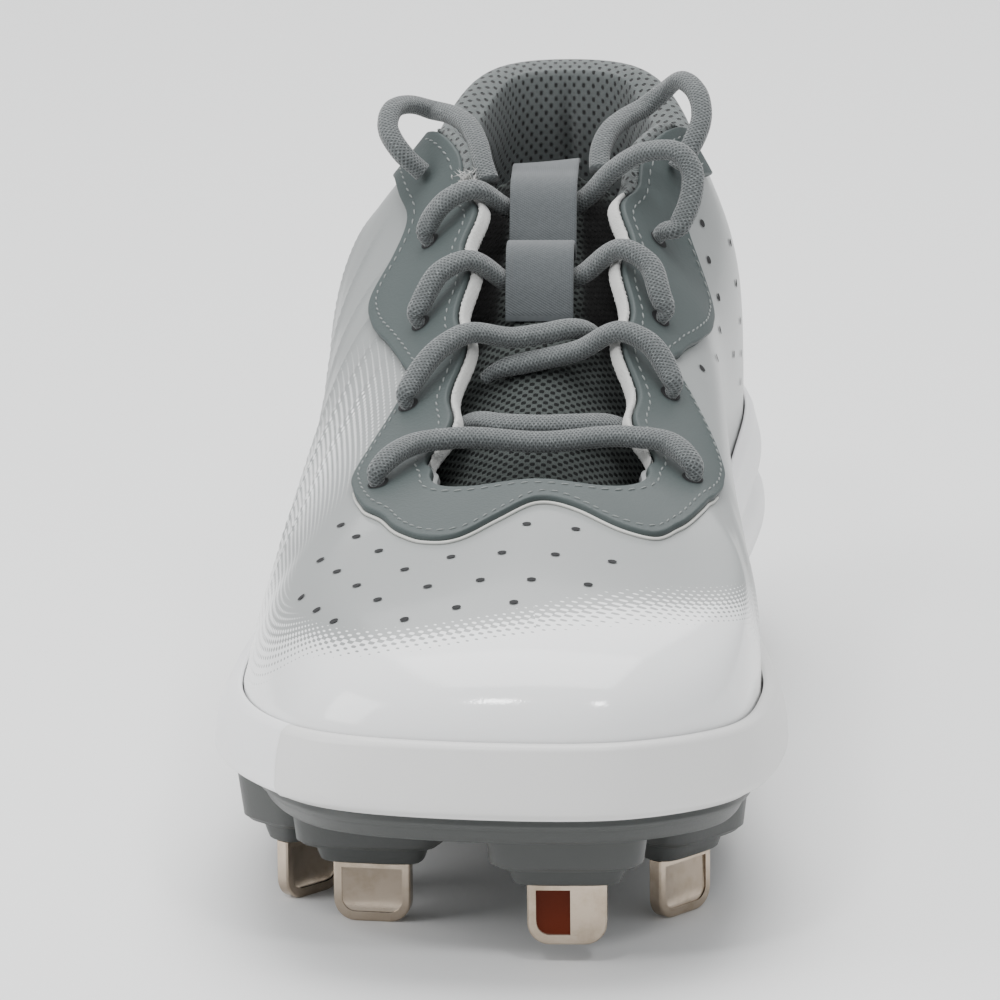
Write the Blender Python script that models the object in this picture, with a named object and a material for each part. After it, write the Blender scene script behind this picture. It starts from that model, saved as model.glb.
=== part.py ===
"""Baseball cleat for a right foot, standing empty on its metal studs.

Metres, +Z up. The toe points along -Y, and the inner (medial) side of the foot is +X.
The origin is on the ground, under the middle of the shoe's box.

The shoe is a set of sections taken all the way round its outline. Section 0 is the toe tip,
section 12 the back of the heel, 1 to 11 the medial side and 13 to 23 the lateral side.
Every piece of the upper comes from one function, upper_surface, and every piece of the sole
from sole_ring, so that neighbours keep the same outline and a named clearance.
"""

import math

import bmesh
import bpy
import numpy as np

MM = 0.001

# Lengths and widths of the shoe
LENGTH = 296 * MM
BALL_WIDTH = 104 * MM
HEEL_WIDTH = 84 * MM
HEEL_OFFSET = 8 * MM

# Heights of the sole, from the ground up
STUD_REACH = 11.6 * MM
POD_HEIGHT = 7.3 * MM
PLATE_THICKNESS = 5 * MM
TOE_SPRING = 7.5 * MM
BAND_HEIGHT = 14 * MM
HEEL_BAND_HEIGHT = 30 * MM
GAP = 0.3 * MM

# Heights of the upper above the underside of the midsole
VAMP_RISE = 48.5 * MM
INSTEP_RISE = 97 * MM
HEEL_RISE = 90 * MM

# Throat opening, whose edge draws back at each lace row
THROAT_OFFSET = 8.2 * MM
THROAT_WIDTH = 28 * MM
THROAT_SCALLOP = 2.6 * MM
FIRST_ROW, LAST_ROW = 3, 7

# Midsole wall and rim
RIM_WIDTH = 1.3 * MM
RIM_DEPTH = 7 * MM
RIM_TUCK = 0.62
WALL_SWELL = 4 * MM
HEEL_GROOVE = 1.6 * MM

# Upper and the layers on and in it
WALL = 2.2 * MM
OVERLAY = 1.2 * MM
OVERLAY_GAP = 0.5 * MM
OVERLAY_SETBACK = 0.8 * MM
COLLAR_PAD = 7 * MM
COLLAR_ROLL = 3.2 * MM
COLLAR_DROP = 40 * MM
COLLAR_SPAN = (7.833, 16.167)
COLLAR_FADE = 1.6
COLLAR_CLEARANCE = 1 * MM
INSOLE_THICKNESS = 4.5 * MM

# Tongue and its webbing keeper, which sit a little to the lateral side of the throat
TONGUE_OFFSET = 6.4 * MM
TONGUE_WIDTH = 52 * MM
TONGUE_THICKNESS = 5 * MM
KEEPER_WIDTH = 13.2 * MM
KEEPER_THICKNESS = 1.1 * MM
KEEPER_SLOT = 7.5 * MM

# Laces
LACE_WIDTH = 5.6 * MM
LACE_THICKNESS = 4 * MM
LOOP_THICKNESS = 4.2 * MM
LACE_TILT = math.radians(25)

# Metal studs
STUD_WIDTH = 14.2 * MM
STUD_THICKNESS = 2.8 * MM
STUD_CORNER = 4 * MM
STUD_RECESS = 0.5 * MM
STUD_RIM = 1.5 * MM

SOLE_BASE = STUD_REACH + POD_HEIGHT + PLATE_THICKNESS + GAP
STATIONS = 24

# Sole sections: distance behind the toe tip, side, share of the toe spring, share of the
# heel's extra band height, and share of the wall's swell
SOLE_SECTIONS = (
    (0.000 * LENGTH, 0.115 * BALL_WIDTH, 1.00, 0.00, 0.20),
    (0.014 * LENGTH, 0.302 * BALL_WIDTH, 0.96, 0.00, 0.25),
    (0.068 * LENGTH, 0.448 * BALL_WIDTH, 0.76, 0.00, 0.50),
    (0.155 * LENGTH, 0.503 * BALL_WIDTH, 0.42, 0.00, 0.80),
    (0.240 * LENGTH, 0.513 * BALL_WIDTH, 0.20, 0.00, 0.90),
    (0.360 * LENGTH, 0.478 * BALL_WIDTH, 0.04, 0.03, 0.90),
    (0.500 * LENGTH, 0.430 * BALL_WIDTH, 0.00, 0.24, 0.90),
    (0.620 * LENGTH, HEEL_OFFSET + 0.440 * HEEL_WIDTH, 0.00, 0.55, 0.90),
    (0.720 * LENGTH, HEEL_OFFSET + 0.475 * HEEL_WIDTH, 0.00, 0.82, 0.95),
    (0.820 * LENGTH, HEEL_OFFSET + 0.490 * HEEL_WIDTH, 0.00, 0.98, 1.00),
    (0.915 * LENGTH, HEEL_OFFSET + 0.410 * HEEL_WIDTH, 0.02, 1.00, 1.00),
    (0.977 * LENGTH, HEEL_OFFSET + 0.235 * HEEL_WIDTH, 0.08, 0.98, 1.00),
    (1.000 * LENGTH, HEEL_OFFSET, 0.10, 0.96, 1.00),
    (0.977 * LENGTH, HEEL_OFFSET - 0.235 * HEEL_WIDTH, 0.08, 0.98, 1.00),
    (0.915 * LENGTH, HEEL_OFFSET - 0.410 * HEEL_WIDTH, 0.02, 1.00, 1.00),
    (0.820 * LENGTH, HEEL_OFFSET - 0.490 * HEEL_WIDTH, 0.00, 0.98, 1.00),
    (0.720 * LENGTH, HEEL_OFFSET - 0.505 * HEEL_WIDTH, 0.00, 0.80, 1.00),
    (0.620 * LENGTH, HEEL_OFFSET - 0.540 * HEEL_WIDTH, 0.00, 0.50, 1.05),
    (0.500 * LENGTH, -0.402 * BALL_WIDTH, 0.00, 0.22, 1.20),
    (0.370 * LENGTH, -0.468 * BALL_WIDTH, 0.04, 0.05, 1.35),
    (0.255 * LENGTH, -0.492 * BALL_WIDTH, 0.18, 0.00, 1.50),
    (0.160 * LENGTH, -0.464 * BALL_WIDTH, 0.40, 0.00, 1.40),
    (0.070 * LENGTH, -0.364 * BALL_WIDTH, 0.75, 0.00, 0.90),
    (0.018 * LENGTH, -0.182 * BALL_WIDTH, 0.94, 0.00, 0.40),
)

# Upper sections: where the section meets the throat or collar edge (behind the toe tip,
# side, height above the midsole's underside), then the bulge that leaves the sole (lean in
# degrees, reach) and the shoulder that arrives at the edge (slope in degrees, reach)
UPPER_SECTIONS = (
    (0.294 * LENGTH, THROAT_OFFSET, 0.98 * VAMP_RISE,
     -2, 0.39 * VAMP_RISE, 9, 0.17 * LENGTH),
    (0.291 * LENGTH, THROAT_OFFSET + 0.38 * THROAT_WIDTH, 0.96 * VAMP_RISE,
     -2, 0.39 * VAMP_RISE, 13, 0.15 * LENGTH),
    (0.300 * LENGTH, THROAT_OFFSET + 0.66 * THROAT_WIDTH, 0.97 * VAMP_RISE,
     -1, 0.40 * VAMP_RISE, 20, 0.11 * LENGTH),
    (0.338 * LENGTH, THROAT_OFFSET + 0.640 * THROAT_WIDTH, 0.518 * INSTEP_RISE,
     0, 0.42 * VAMP_RISE, 22, 0.078 * LENGTH),
    (0.405 * LENGTH, THROAT_OFFSET + 0.520 * THROAT_WIDTH, 0.607 * INSTEP_RISE,
     1, 0.50 * VAMP_RISE, 34, 0.080 * LENGTH),
    (0.476 * LENGTH, THROAT_OFFSET + 0.470 * THROAT_WIDTH, 0.725 * INSTEP_RISE,
     3, 0.66 * VAMP_RISE, 42, 0.085 * LENGTH),
    (0.547 * LENGTH, THROAT_OFFSET + 0.460 * THROAT_WIDTH, 0.820 * INSTEP_RISE,
     8, 0.80 * VAMP_RISE, 44, 0.090 * LENGTH),
    (0.615 * LENGTH, THROAT_OFFSET + 0.490 * THROAT_WIDTH, 0.905 * INSTEP_RISE,
     6, 0.80 * VAMP_RISE, 48, 0.090 * LENGTH),
    (0.690 * LENGTH, THROAT_OFFSET + 0.86 * THROAT_WIDTH, 0.960 * INSTEP_RISE,
     4, 0.70 * VAMP_RISE, 58, 0.085 * LENGTH),
    (0.800 * LENGTH, HEEL_OFFSET + 0.365 * HEEL_WIDTH, 0.850 * HEEL_RISE,
     0, 0.42 * VAMP_RISE, 76, 0.060 * LENGTH),
    (0.905 * LENGTH, HEEL_OFFSET + 0.310 * HEEL_WIDTH, 0.905 * HEEL_RISE,
     3, 0.46 * VAMP_RISE, 82, 0.070 * LENGTH),
    (0.958 * LENGTH, HEEL_OFFSET + 0.200 * HEEL_WIDTH, 0.985 * HEEL_RISE,
     7, 0.50 * VAMP_RISE, 82, 0.080 * LENGTH),
    (0.972 * LENGTH, HEEL_OFFSET, 1.000 * HEEL_RISE,
     8, 0.50 * VAMP_RISE, 83, 0.085 * LENGTH),
    (0.958 * LENGTH, HEEL_OFFSET - 0.200 * HEEL_WIDTH, 0.985 * HEEL_RISE,
     7, 0.50 * VAMP_RISE, 82, 0.080 * LENGTH),
    (0.905 * LENGTH, HEEL_OFFSET - 0.310 * HEEL_WIDTH, 0.905 * HEEL_RISE,
     3, 0.46 * VAMP_RISE, 82, 0.070 * LENGTH),
    (0.800 * LENGTH, HEEL_OFFSET - 0.365 * HEEL_WIDTH, 0.840 * HEEL_RISE,
     0, 0.42 * VAMP_RISE, 76, 0.060 * LENGTH),
    (0.690 * LENGTH, THROAT_OFFSET - 0.86 * THROAT_WIDTH, 0.950 * INSTEP_RISE,
     12, 0.85 * VAMP_RISE, 52, 0.095 * LENGTH),
    (0.615 * LENGTH, THROAT_OFFSET - 0.530 * THROAT_WIDTH, 0.895 * INSTEP_RISE,
     13, 0.98 * VAMP_RISE, 44, 0.105 * LENGTH),
    (0.547 * LENGTH, THROAT_OFFSET - 0.500 * THROAT_WIDTH, 0.812 * INSTEP_RISE,
     4, 0.90 * VAMP_RISE, 42, 0.108 * LENGTH),
    (0.476 * LENGTH, THROAT_OFFSET - 0.510 * THROAT_WIDTH, 0.718 * INSTEP_RISE,
     -4, 0.68 * VAMP_RISE, 40, 0.104 * LENGTH),
    (0.405 * LENGTH, THROAT_OFFSET - 0.525 * THROAT_WIDTH, 0.603 * INSTEP_RISE,
     -11, 0.50 * VAMP_RISE, 32, 0.092 * LENGTH),
    (0.338 * LENGTH, THROAT_OFFSET - 0.640 * THROAT_WIDTH, 0.514 * INSTEP_RISE,
     -16, 0.40 * VAMP_RISE, 21, 0.085 * LENGTH),
    (0.300 * LENGTH, THROAT_OFFSET - 0.66 * THROAT_WIDTH, 0.96 * VAMP_RISE,
     -17, 0.39 * VAMP_RISE, 20, 0.108 * LENGTH),
    (0.291 * LENGTH, THROAT_OFFSET - 0.38 * THROAT_WIDTH, 0.96 * VAMP_RISE,
     -9, 0.39 * VAMP_RISE, 13, 0.145 * LENGTH),
)

# Side wall of the midsole, from the underside up: inset as a share of the swell, height as a
# share of the band, and share of the heel groove
MIDSOLE_WALL = (
    (0.95, 0.00, 0.0),
    (0.22, 0.12, 0.0),
    (0.00, 0.38, 0.0),
    (0.05, 0.52, 1.0),
    (0.12, 0.64, 0.0),
    (0.45, 0.93, 0.0),
)

# Eyestay: section number, counted from the toe tip, and how far the overlay reaches below the
# section's end there, as a share of the throat's width
EYESTAY_REACH = (
    (-8.00, 0.46),
    (-7.50, 0.58),
    (-7.15, 0.61),
    (-6.80, 0.78),
    (-6.40, 0.98),
    (-5.95, 0.95),
    (-5.40, 0.77),
    (-4.95, 0.62),
    (-4.60, 0.53),
    (-4.30, 0.67),
    (-4.05, 0.83),
    (-3.72, 0.96),
    (-3.40, 0.88),
    (-2.80, 0.69),
    (-1.90, 0.54),
    (-1.45, 0.70),
    (-1.16, 0.83),
    (-0.82, 0.87),
    (-0.45, 0.62),
    (0.00, 0.35),
    (0.50, 0.43),
    (0.84, 0.72),
    (1.10, 0.80),
    (1.55, 0.64),
    (2.10, 0.52),
    (2.68, 0.60),
    (3.30, 0.86),
    (3.90, 1.12),
    (4.25, 1.18),
    (4.50, 1.02),
    (4.66, 0.80),
    (4.82, 0.57),
    (5.15, 0.64),
    (5.70, 0.85),
    (6.25, 1.00),
    (6.65, 1.01),
    (6.92, 0.81),
    (7.12, 0.62),
    (7.40, 0.50),
    (8.00, 0.42),
)

# Collar pad, as a loop: distance along the section past the edge, as a share of the roll
# (above) or of the drop (below), and depth inside the outer surface, as a share of the pad
COLLAR_ABOVE = ((0.75, 0.16), (1.00, 0.50), (0.80, 0.95), (0.25, 1.20))
COLLAR_BELOW = ((0.20, 1.32), (0.45, 1.10), (0.72, 0.62), (1.00, 0.25))

# Lace strands, over the throat: lace row (a section number), share of the way from the
# lateral edge of the throat to the medial edge, and rise as a share of the lace's thickness
LACE_STRANDS = {
    "lace_row_1": (
        (3.00, -0.42, 0.56), (3.00, -0.36, 0.72), (3.04, -0.14, 0.80), (3.08, 0.10, 0.62),
        (3.10, 0.50, 0.30), (3.08, 0.90, 0.62), (3.03, 1.12, 0.80), (2.97, 1.28, 0.72), (2.96, 1.34, 0.56),
    ),
    "lace_row_2_over": (
        (4.20, -0.40, 0.56), (4.24, -0.34, 0.75), (4.38, -0.12, 0.95), (4.50, 0.04, 0.60),
        (4.62, 0.30, -0.40), (4.70, 0.50, -0.50), (4.80, 0.68, -0.60), (4.88, 0.80, -1.10),
        (4.94, 0.90, -1.75), (4.98, 1.00, -2.20), (5.00, 1.05, -2.35),
    ),
    "lace_row_2_under": (
        (4.32, 1.40, 0.56), (4.36, 1.34, 0.75), (4.44, 1.12, 0.95), (4.50, 0.96, 0.60),
        (4.52, 0.75, -1.00), (4.50, 0.50, -1.42), (4.46, 0.30, -1.50), (4.42, 0.16, -1.50),
        (4.40, 0.05, -1.72), (4.38, -0.03, -1.85),
    ),
    "lace_row_3": (
        (5.24, -0.37, 0.56), (5.28, -0.31, 0.75), (5.40, -0.12, 1.00), (5.48, 0.03, 0.55),
        (5.56, 0.145, -1.60), (5.64, 0.23, -2.30), (5.68, 0.45, -2.24), (5.66, 0.63, -2.20),
        (5.60, 0.78, -1.60), (5.56, 0.95, 0.75), (5.46, 1.12, 1.00), (5.26, 1.24, 0.75), (5.22, 1.30, 0.56),
    ),
    "lace_row_4": (
        (6.55, -0.42, 0.56), (6.58, -0.36, 0.75), (6.62, -0.14, 1.00), (6.68, 0.04, 0.65),
        (6.78, 0.16, -1.15), (6.86, 0.27, -2.15), (6.88, 0.44, -2.20), (6.88, 0.62, -2.10),
        (6.92, 0.76, -1.10), (7.02, 0.82, 0.80), (7.08, 0.92, 2.20), (7.05, 1.06, 2.90),
        (6.92, 1.18, 3.00), (6.72, 1.30, 2.60), (6.54, 1.38, 1.80), (6.46, 1.39, 1.10), (6.47, 1.35, 0.56),
    ),
}

# Lace loops round the top of each ear: distance behind the toe tip, side, height above the
# midsole's underside
LACE_LOOPS = {
    "lace_loop_lateral": (
        (0.641 * LENGTH, THROAT_OFFSET - 0.94 * THROAT_WIDTH, 0.895 * INSTEP_RISE),
        (0.640 * LENGTH, THROAT_OFFSET - 1.08 * THROAT_WIDTH, 0.935 * INSTEP_RISE),
        (0.654 * LENGTH, THROAT_OFFSET - 1.19 * THROAT_WIDTH, 0.980 * INSTEP_RISE),
        (0.672 * LENGTH, THROAT_OFFSET - 1.16 * THROAT_WIDTH, 1.010 * INSTEP_RISE),
        (0.688 * LENGTH, THROAT_OFFSET - 1.03 * THROAT_WIDTH, 1.010 * INSTEP_RISE),
        (0.694 * LENGTH, THROAT_OFFSET - 0.90 * THROAT_WIDTH, 0.996 * INSTEP_RISE),
        (0.684 * LENGTH, THROAT_OFFSET - 0.76 * THROAT_WIDTH, 0.992 * INSTEP_RISE),
        (0.664 * LENGTH, THROAT_OFFSET - 0.62 * THROAT_WIDTH, 0.978 * INSTEP_RISE),
        (0.645 * LENGTH, THROAT_OFFSET - 0.545 * THROAT_WIDTH, 0.950 * INSTEP_RISE),
        (0.628 * LENGTH, THROAT_OFFSET - 0.50 * THROAT_WIDTH, 0.915 * INSTEP_RISE),
        (0.618 * LENGTH, THROAT_OFFSET - 0.46 * THROAT_WIDTH, 0.890 * INSTEP_RISE),
    ),
    "lace_loop_medial": (
        (0.636 * LENGTH, THROAT_OFFSET + 0.87 * THROAT_WIDTH, 0.904 * INSTEP_RISE),
        (0.640 * LENGTH, THROAT_OFFSET + 0.96 * THROAT_WIDTH, 0.945 * INSTEP_RISE),
        (0.654 * LENGTH, THROAT_OFFSET + 1.04 * THROAT_WIDTH, 1.000 * INSTEP_RISE),
        (0.672 * LENGTH, THROAT_OFFSET + 1.00 * THROAT_WIDTH, 1.045 * INSTEP_RISE),
        (0.688 * LENGTH, THROAT_OFFSET + 0.88 * THROAT_WIDTH, 1.060 * INSTEP_RISE),
        (0.697 * LENGTH, THROAT_OFFSET + 0.76 * THROAT_WIDTH, 1.030 * INSTEP_RISE),
        (0.696 * LENGTH, THROAT_OFFSET + 0.63 * THROAT_WIDTH, 1.000 * INSTEP_RISE),
        (0.684 * LENGTH, THROAT_OFFSET + 0.50 * THROAT_WIDTH, 0.985 * INSTEP_RISE),
        (0.665 * LENGTH, THROAT_OFFSET + 0.38 * THROAT_WIDTH, 0.965 * INSTEP_RISE),
        (0.646 * LENGTH, THROAT_OFFSET + 0.32 * THROAT_WIDTH, 0.930 * INSTEP_RISE),
        (0.634 * LENGTH, THROAT_OFFSET + 0.32 * THROAT_WIDTH, 0.903 * INSTEP_RISE),
    ),
}

# Keeper: share of the tongue's length, and lift off the tongue as a share of the slot
KEEPER_SECTIONS = (
    (0.545, 0.0), (0.562, 0.6), (0.580, 1.0), (0.650, 1.0), (0.690, 0.5), (0.715, 0.0),
    (0.740, 0.5), (0.765, 1.0), (0.860, 1.0), (0.940, 0.5), (0.985, 0.0),
)

# Tongue: distance behind the toe tip, height above the midsole's underside, share of width
TONGUE_SECTIONS = (
    (0.270 * LENGTH, 0.80 * VAMP_RISE, 0.88),
    (0.330 * LENGTH, 0.93 * VAMP_RISE, 0.92),
    (0.400 * LENGTH, 0.550 * INSTEP_RISE, 0.90),
    (0.480 * LENGTH, 0.650 * INSTEP_RISE, 0.84),
    (0.560 * LENGTH, 0.740 * INSTEP_RISE, 0.78),
    (0.630 * LENGTH, 0.815 * INSTEP_RISE, 0.72),
    (0.690 * LENGTH, 0.890 * INSTEP_RISE, 0.66),
)

# Studs: distance behind the toe tip, side, turn about the vertical in degrees, and the spread
# of the pod that carries the stud
STUDS = (
    ("stud_toe", 0.064 * LENGTH, 0.146 * BALL_WIDTH, 0, 1.20),
    ("stud_front_lateral", 0.155 * LENGTH, -0.202 * BALL_WIDTH, -8, 1.18),
    ("stud_front_medial", 0.172 * LENGTH, 0.334 * BALL_WIDTH, 50, 1.00),
    ("stud_side_lateral", 0.212 * LENGTH, -0.325 * BALL_WIDTH, 48, 1.00),
    ("stud_ball_medial", 0.345 * LENGTH, 0.330 * BALL_WIDTH, -12, 1.10),
    ("stud_ball_lateral", 0.365 * LENGTH, -0.335 * BALL_WIDTH, 12, 1.10),
    ("stud_heel_medial", 0.800 * LENGTH, HEEL_OFFSET + 0.300 * HEEL_WIDTH, 70, 1.00),
    ("stud_heel_lateral", 0.800 * LENGTH, HEEL_OFFSET - 0.300 * HEEL_WIDTH, -70, 1.00),
    ("stud_heel_back", 0.920 * LENGTH, HEEL_OFFSET, 0, 1.10),
)

# Pods under the plate, from the top down: width and depth as shares of the stud's width, and
# height above the stud's seat as a share of the pod's height (the first layer is in the plate)
POD_LAYERS = (
    (1.75, 1.35, None),
    (1.55, 1.15, 0.55),
    (1.25, 0.72, 0.50),
    (1.12, 0.55, 0.00),
)


class Loop:
    """A smooth closed curve through the rows of a table, one row for each whole number."""

    def __init__(self, rows):
        self.rows = np.array(rows, float)
        count = len(self.rows)
        unit = np.eye(count)
        matrix = 4 * unit + np.roll(unit, 1, 0) + np.roll(unit, -1, 0)
        bend = np.roll(self.rows, 1, 0) - 2 * self.rows + np.roll(self.rows, -1, 0)
        self.curve = np.linalg.solve(matrix, 6 * bend)

    def at(self, station):
        station = np.asarray(station, float) % len(self.rows)
        first = np.floor(station).astype(int) % len(self.rows)
        second = (first + 1) % len(self.rows)
        f = (station - np.floor(station))[..., None]
        g = 1 - f
        straight = g * self.rows[first] + f * self.rows[second]
        return straight + ((g**3 - g) * self.curve[first] + (f**3 - f) * self.curve[second]) / 6


def smooth_between(keys, values, at):
    """Values of a smooth open curve through (key, value) rows, at the given keys."""
    keys = np.array(keys, float)
    values = np.array(values, float)
    at = np.clip(np.asarray(at, float), keys[0], keys[-1])
    slopes = np.gradient(values, keys, axis=0)
    i = np.clip(np.searchsorted(keys, at, side="right") - 1, 0, len(keys) - 2)
    step = keys[i + 1] - keys[i]
    f = (at - keys[i]) / step
    if values.ndim > 1:
        f = f[..., None]
        step = step[..., None]
    h = f * f * (3 - 2 * f)
    bend_in = f * (1 - f) ** 2
    bend_out = f * f * (1 - f)
    return (1 - h) * values[i] + h * values[i + 1] + step * (bend_in * slopes[i] - bend_out * slopes[i + 1])


SOLE = Loop(SOLE_SECTIONS)
UPPER = Loop(UPPER_SECTIONS)
OUTLINE_SAMPLES = SOLE.at(np.linspace(0, STATIONS, 20 * STATIONS))
MIDDLE_SIDE = (OUTLINE_SAMPLES[:, 1].max() + OUTLINE_SAMPLES[:, 1].min()) / 2
MIDDLE_BACK = (OUTLINE_SAMPLES[:, 0].max() + OUTLINE_SAMPLES[:, 0].min()) / 2


def place(back, side, height):
    """World points from distances behind the toe tip, to the medial side and above ground."""
    back, side, height = np.broadcast_arrays(back, side, height)
    return np.stack([side - MIDDLE_SIDE, back - MIDDLE_BACK, height], axis=-1)


def outward(station):
    """Unit vectors pointing out of the sole's outline, level with the ground."""
    ahead = SOLE.at(np.asarray(station) + 0.02)[..., :2]
    behind = SOLE.at(np.asarray(station) - 0.02)[..., :2]
    along_back, along_side = (ahead - behind)[..., 0], (ahead - behind)[..., 1]
    normal = np.stack([along_back, -along_side, np.zeros_like(along_back)], axis=-1)
    return normal / np.linalg.norm(normal, axis=-1, keepdims=True)


def base_height(station):
    """Height of the midsole's underside above the ground."""
    return SOLE_BASE + TOE_SPRING * SOLE.at(station)[..., 2]


def band_height(station):
    """Height of the midsole's side band."""
    return BAND_HEIGHT + (HEEL_BAND_HEIGHT - BAND_HEIGHT) * SOLE.at(station)[..., 3]


def rim_inset(station):
    """Inset of the outer edge of the midsole's rim from the sole's outline."""
    return RIM_TUCK * WALL_SWELL * SOLE.at(station)[..., 4]


def edge_drop(station):
    """How far below the section's end the throat's edge is drawn back, most at each lace row."""
    station = np.asarray(station, float) % STATIONS
    from_toe = np.minimum(station, STATIONS - station)
    fade = np.clip(2 * (from_toe - FIRST_ROW + 0.75), 0, 1) * np.clip(2 * (LAST_ROW + 0.5 - from_toe), 0, 1)
    return THROAT_SCALLOP * fade * (0.5 + 0.5 * np.cos(2 * math.pi * from_toe))


def sole_ring(station, inset, height):
    """Points inset from the sole's outline, at a height above the ground."""
    row = SOLE.at(station)
    inset = np.broadcast_to(inset, np.shape(station))
    return place(row[..., 0], row[..., 1], height) - outward(station) * inset[..., None]


def upper_profile(station, samples=41):
    """Points up each section of the upper's outer surface, from the sole to the edge."""
    station = np.atleast_1d(np.asarray(station, float))
    row = UPPER.at(station)
    lean, slope = np.radians(row[..., 3]), np.radians(row[..., 5])
    normal = outward(station)
    rim = base_height(station) + band_height(station)
    inset = rim_inset(station) + RIM_WIDTH + GAP
    foot = sole_ring(station, inset, rim - RIM_DEPTH + GAP)
    start = sole_ring(station, inset, rim + GAP)
    crown = place(row[..., 0], row[..., 1], row[..., 2] + SOLE_BASE)
    up = np.array([0.0, 0.0, 1.0])
    bulge = start + row[..., 4:5] * (np.sin(lean)[..., None] * normal + np.cos(lean)[..., None] * up)
    shoulder = crown + row[..., 6:7] * (np.cos(slope)[..., None] * normal - np.sin(slope)[..., None] * up)
    f = np.linspace(0, 1, samples)[:, None, None]
    curve = (1 - f) ** 3 * start + 3 * f * (1 - f) ** 2 * bulge
    curve += 3 * f * f * (1 - f) * shoulder + f**3 * crown
    return np.concatenate([foot[None], curve])


def profile_lengths(profile):
    """Distance of each point of the profiles from their foot."""
    steps = np.linalg.norm(np.diff(profile, axis=0), axis=-1)
    return np.concatenate([np.zeros((1, steps.shape[1])), np.cumsum(steps, axis=0)])


def walk_profile(station, below):
    """Points on the outer surface at a distance below the edge, measured along each section."""
    station = np.atleast_1d(np.asarray(station, float))
    below = np.broadcast_to(below, station.shape)
    profile = upper_profile(station)
    lengths = profile_lengths(profile)
    points = np.empty((len(station), 3))
    for k in range(len(station)):
        at = lengths[-1, k] - below[k]
        for axis in range(3):
            points[k, axis] = np.interp(at, lengths[:, k], profile[:, k, axis])
        if at > lengths[-1, k]:
            ahead = profile[-1, k] - profile[-2, k]
            points[k] += ahead / np.linalg.norm(ahead) * (at - lengths[-1, k])
    return points


def section_length(station):
    """Length of the upper's sections from the sole to the edge."""
    return profile_lengths(upper_profile(station))[-1]


def upper_surface(station, below, lift=0.0):
    """Points of the upper: below its edge along a section, and lifted off its outer face."""
    station = np.atleast_1d(np.asarray(station, float))
    below = np.broadcast_to(below, station.shape)
    lift = np.broadcast_to(lift, station.shape)
    point = walk_profile(station, below)
    along = walk_profile(station + 0.03, below) - walk_profile(station - 0.03, below)
    up = walk_profile(station, below - 0.4 * MM) - walk_profile(station, below + 0.4 * MM)
    normal = np.cross(along, up)
    normal /= np.linalg.norm(normal, axis=-1, keepdims=True)
    return point + normal * lift[:, None]


def material(name, color, roughness, metallic=0.0):
    made = bpy.data.materials.new(name)
    made.use_nodes = True
    shader = made.node_tree.nodes["Principled BSDF"]
    shader.inputs["Base Color"].default_value = (*color, 1.0)
    shader.inputs["Roughness"].default_value = roughness
    shader.inputs["Metallic"].default_value = metallic
    return made


def new_object(name, points, faces, finish, smooth_angle=35):
    """An object from points and faces, with its faces turned outwards."""
    mesh = bpy.data.meshes.new(name)
    mesh.from_pydata([tuple(map(float, p)) for p in points], [], faces)
    mesh.validate()
    shape = bmesh.new()
    shape.from_mesh(mesh)
    bmesh.ops.recalc_face_normals(shape, faces=shape.faces)
    shape.to_mesh(mesh)
    shape.free()
    mesh.shade_smooth()
    mesh.set_sharp_from_angle(angle=math.radians(smooth_angle))
    made = bpy.data.objects.new(name, mesh)
    bpy.context.scene.collection.objects.link(made)
    made.data.materials.append(finish)
    return made


def add_stack(name, rings, finish):
    """A solid from rings round the outline, closed across the foot at both ends."""
    count = len(rings[0])
    half = count // 2
    points = np.concatenate(rings)
    faces = []
    for r in range(len(rings) - 1):
        for i in range(count):
            j = (i + 1) % count
            faces.append((r * count + i, r * count + j, (r + 1) * count + j, (r + 1) * count + i))
    for first in (0, (len(rings) - 1) * count):
        for i in range(half):
            a, b = i, i + 1
            c, d = (count - b) % count, (count - a) % count
            face = [first + a, first + b]
            face += [first + k for k in (c, d) if k not in (a, b)]
            faces.append(tuple(face))
    return new_object(name, points, faces, finish)


def add_tube(name, sections, finish, closed=False):
    """A solid swept through sections, which are loops with the same number of points."""
    sections = np.asarray(sections)
    count, size = sections.shape[:2]
    faces = []
    for s in range(count if closed else count - 1):
        t = (s + 1) % count
        for i in range(size):
            j = (i + 1) % size
            faces.append((s * size + i, s * size + j, t * size + j, t * size + i))
    if not closed:
        faces.append(tuple(range(size)))
        faces.append(tuple((count - 1) * size + i for i in range(size)))
    return new_object(name, sections.reshape(-1, 3), faces, finish)


def combine(target, other, operation):
    """Joins another solid to the target, or cuts it from the target, and removes it."""
    modifier = target.modifiers.new(operation.lower(), "BOOLEAN")
    modifier.operation = operation
    modifier.object = other
    graph = bpy.context.evaluated_depsgraph_get()
    mesh = bpy.data.meshes.new_from_object(target.evaluated_get(graph))
    target.modifiers.clear()
    target.data = mesh
    bpy.data.objects.remove(other)


def stations(throat=2, rest=3):
    """Sections round the shoe: so many to a station, and more along the throat's edges."""
    first, last = FIRST_ROW - 1, LAST_ROW + 1
    half = np.arange(0, first, 1 / rest)
    half = np.concatenate([half, np.arange(first, last, 1 / (throat * rest))])
    half = np.concatenate([half, np.arange(last, STATIONS / 2, 1 / rest)])
    return np.concatenate([half, [STATIONS / 2], STATIONS - half[:0:-1]])


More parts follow.
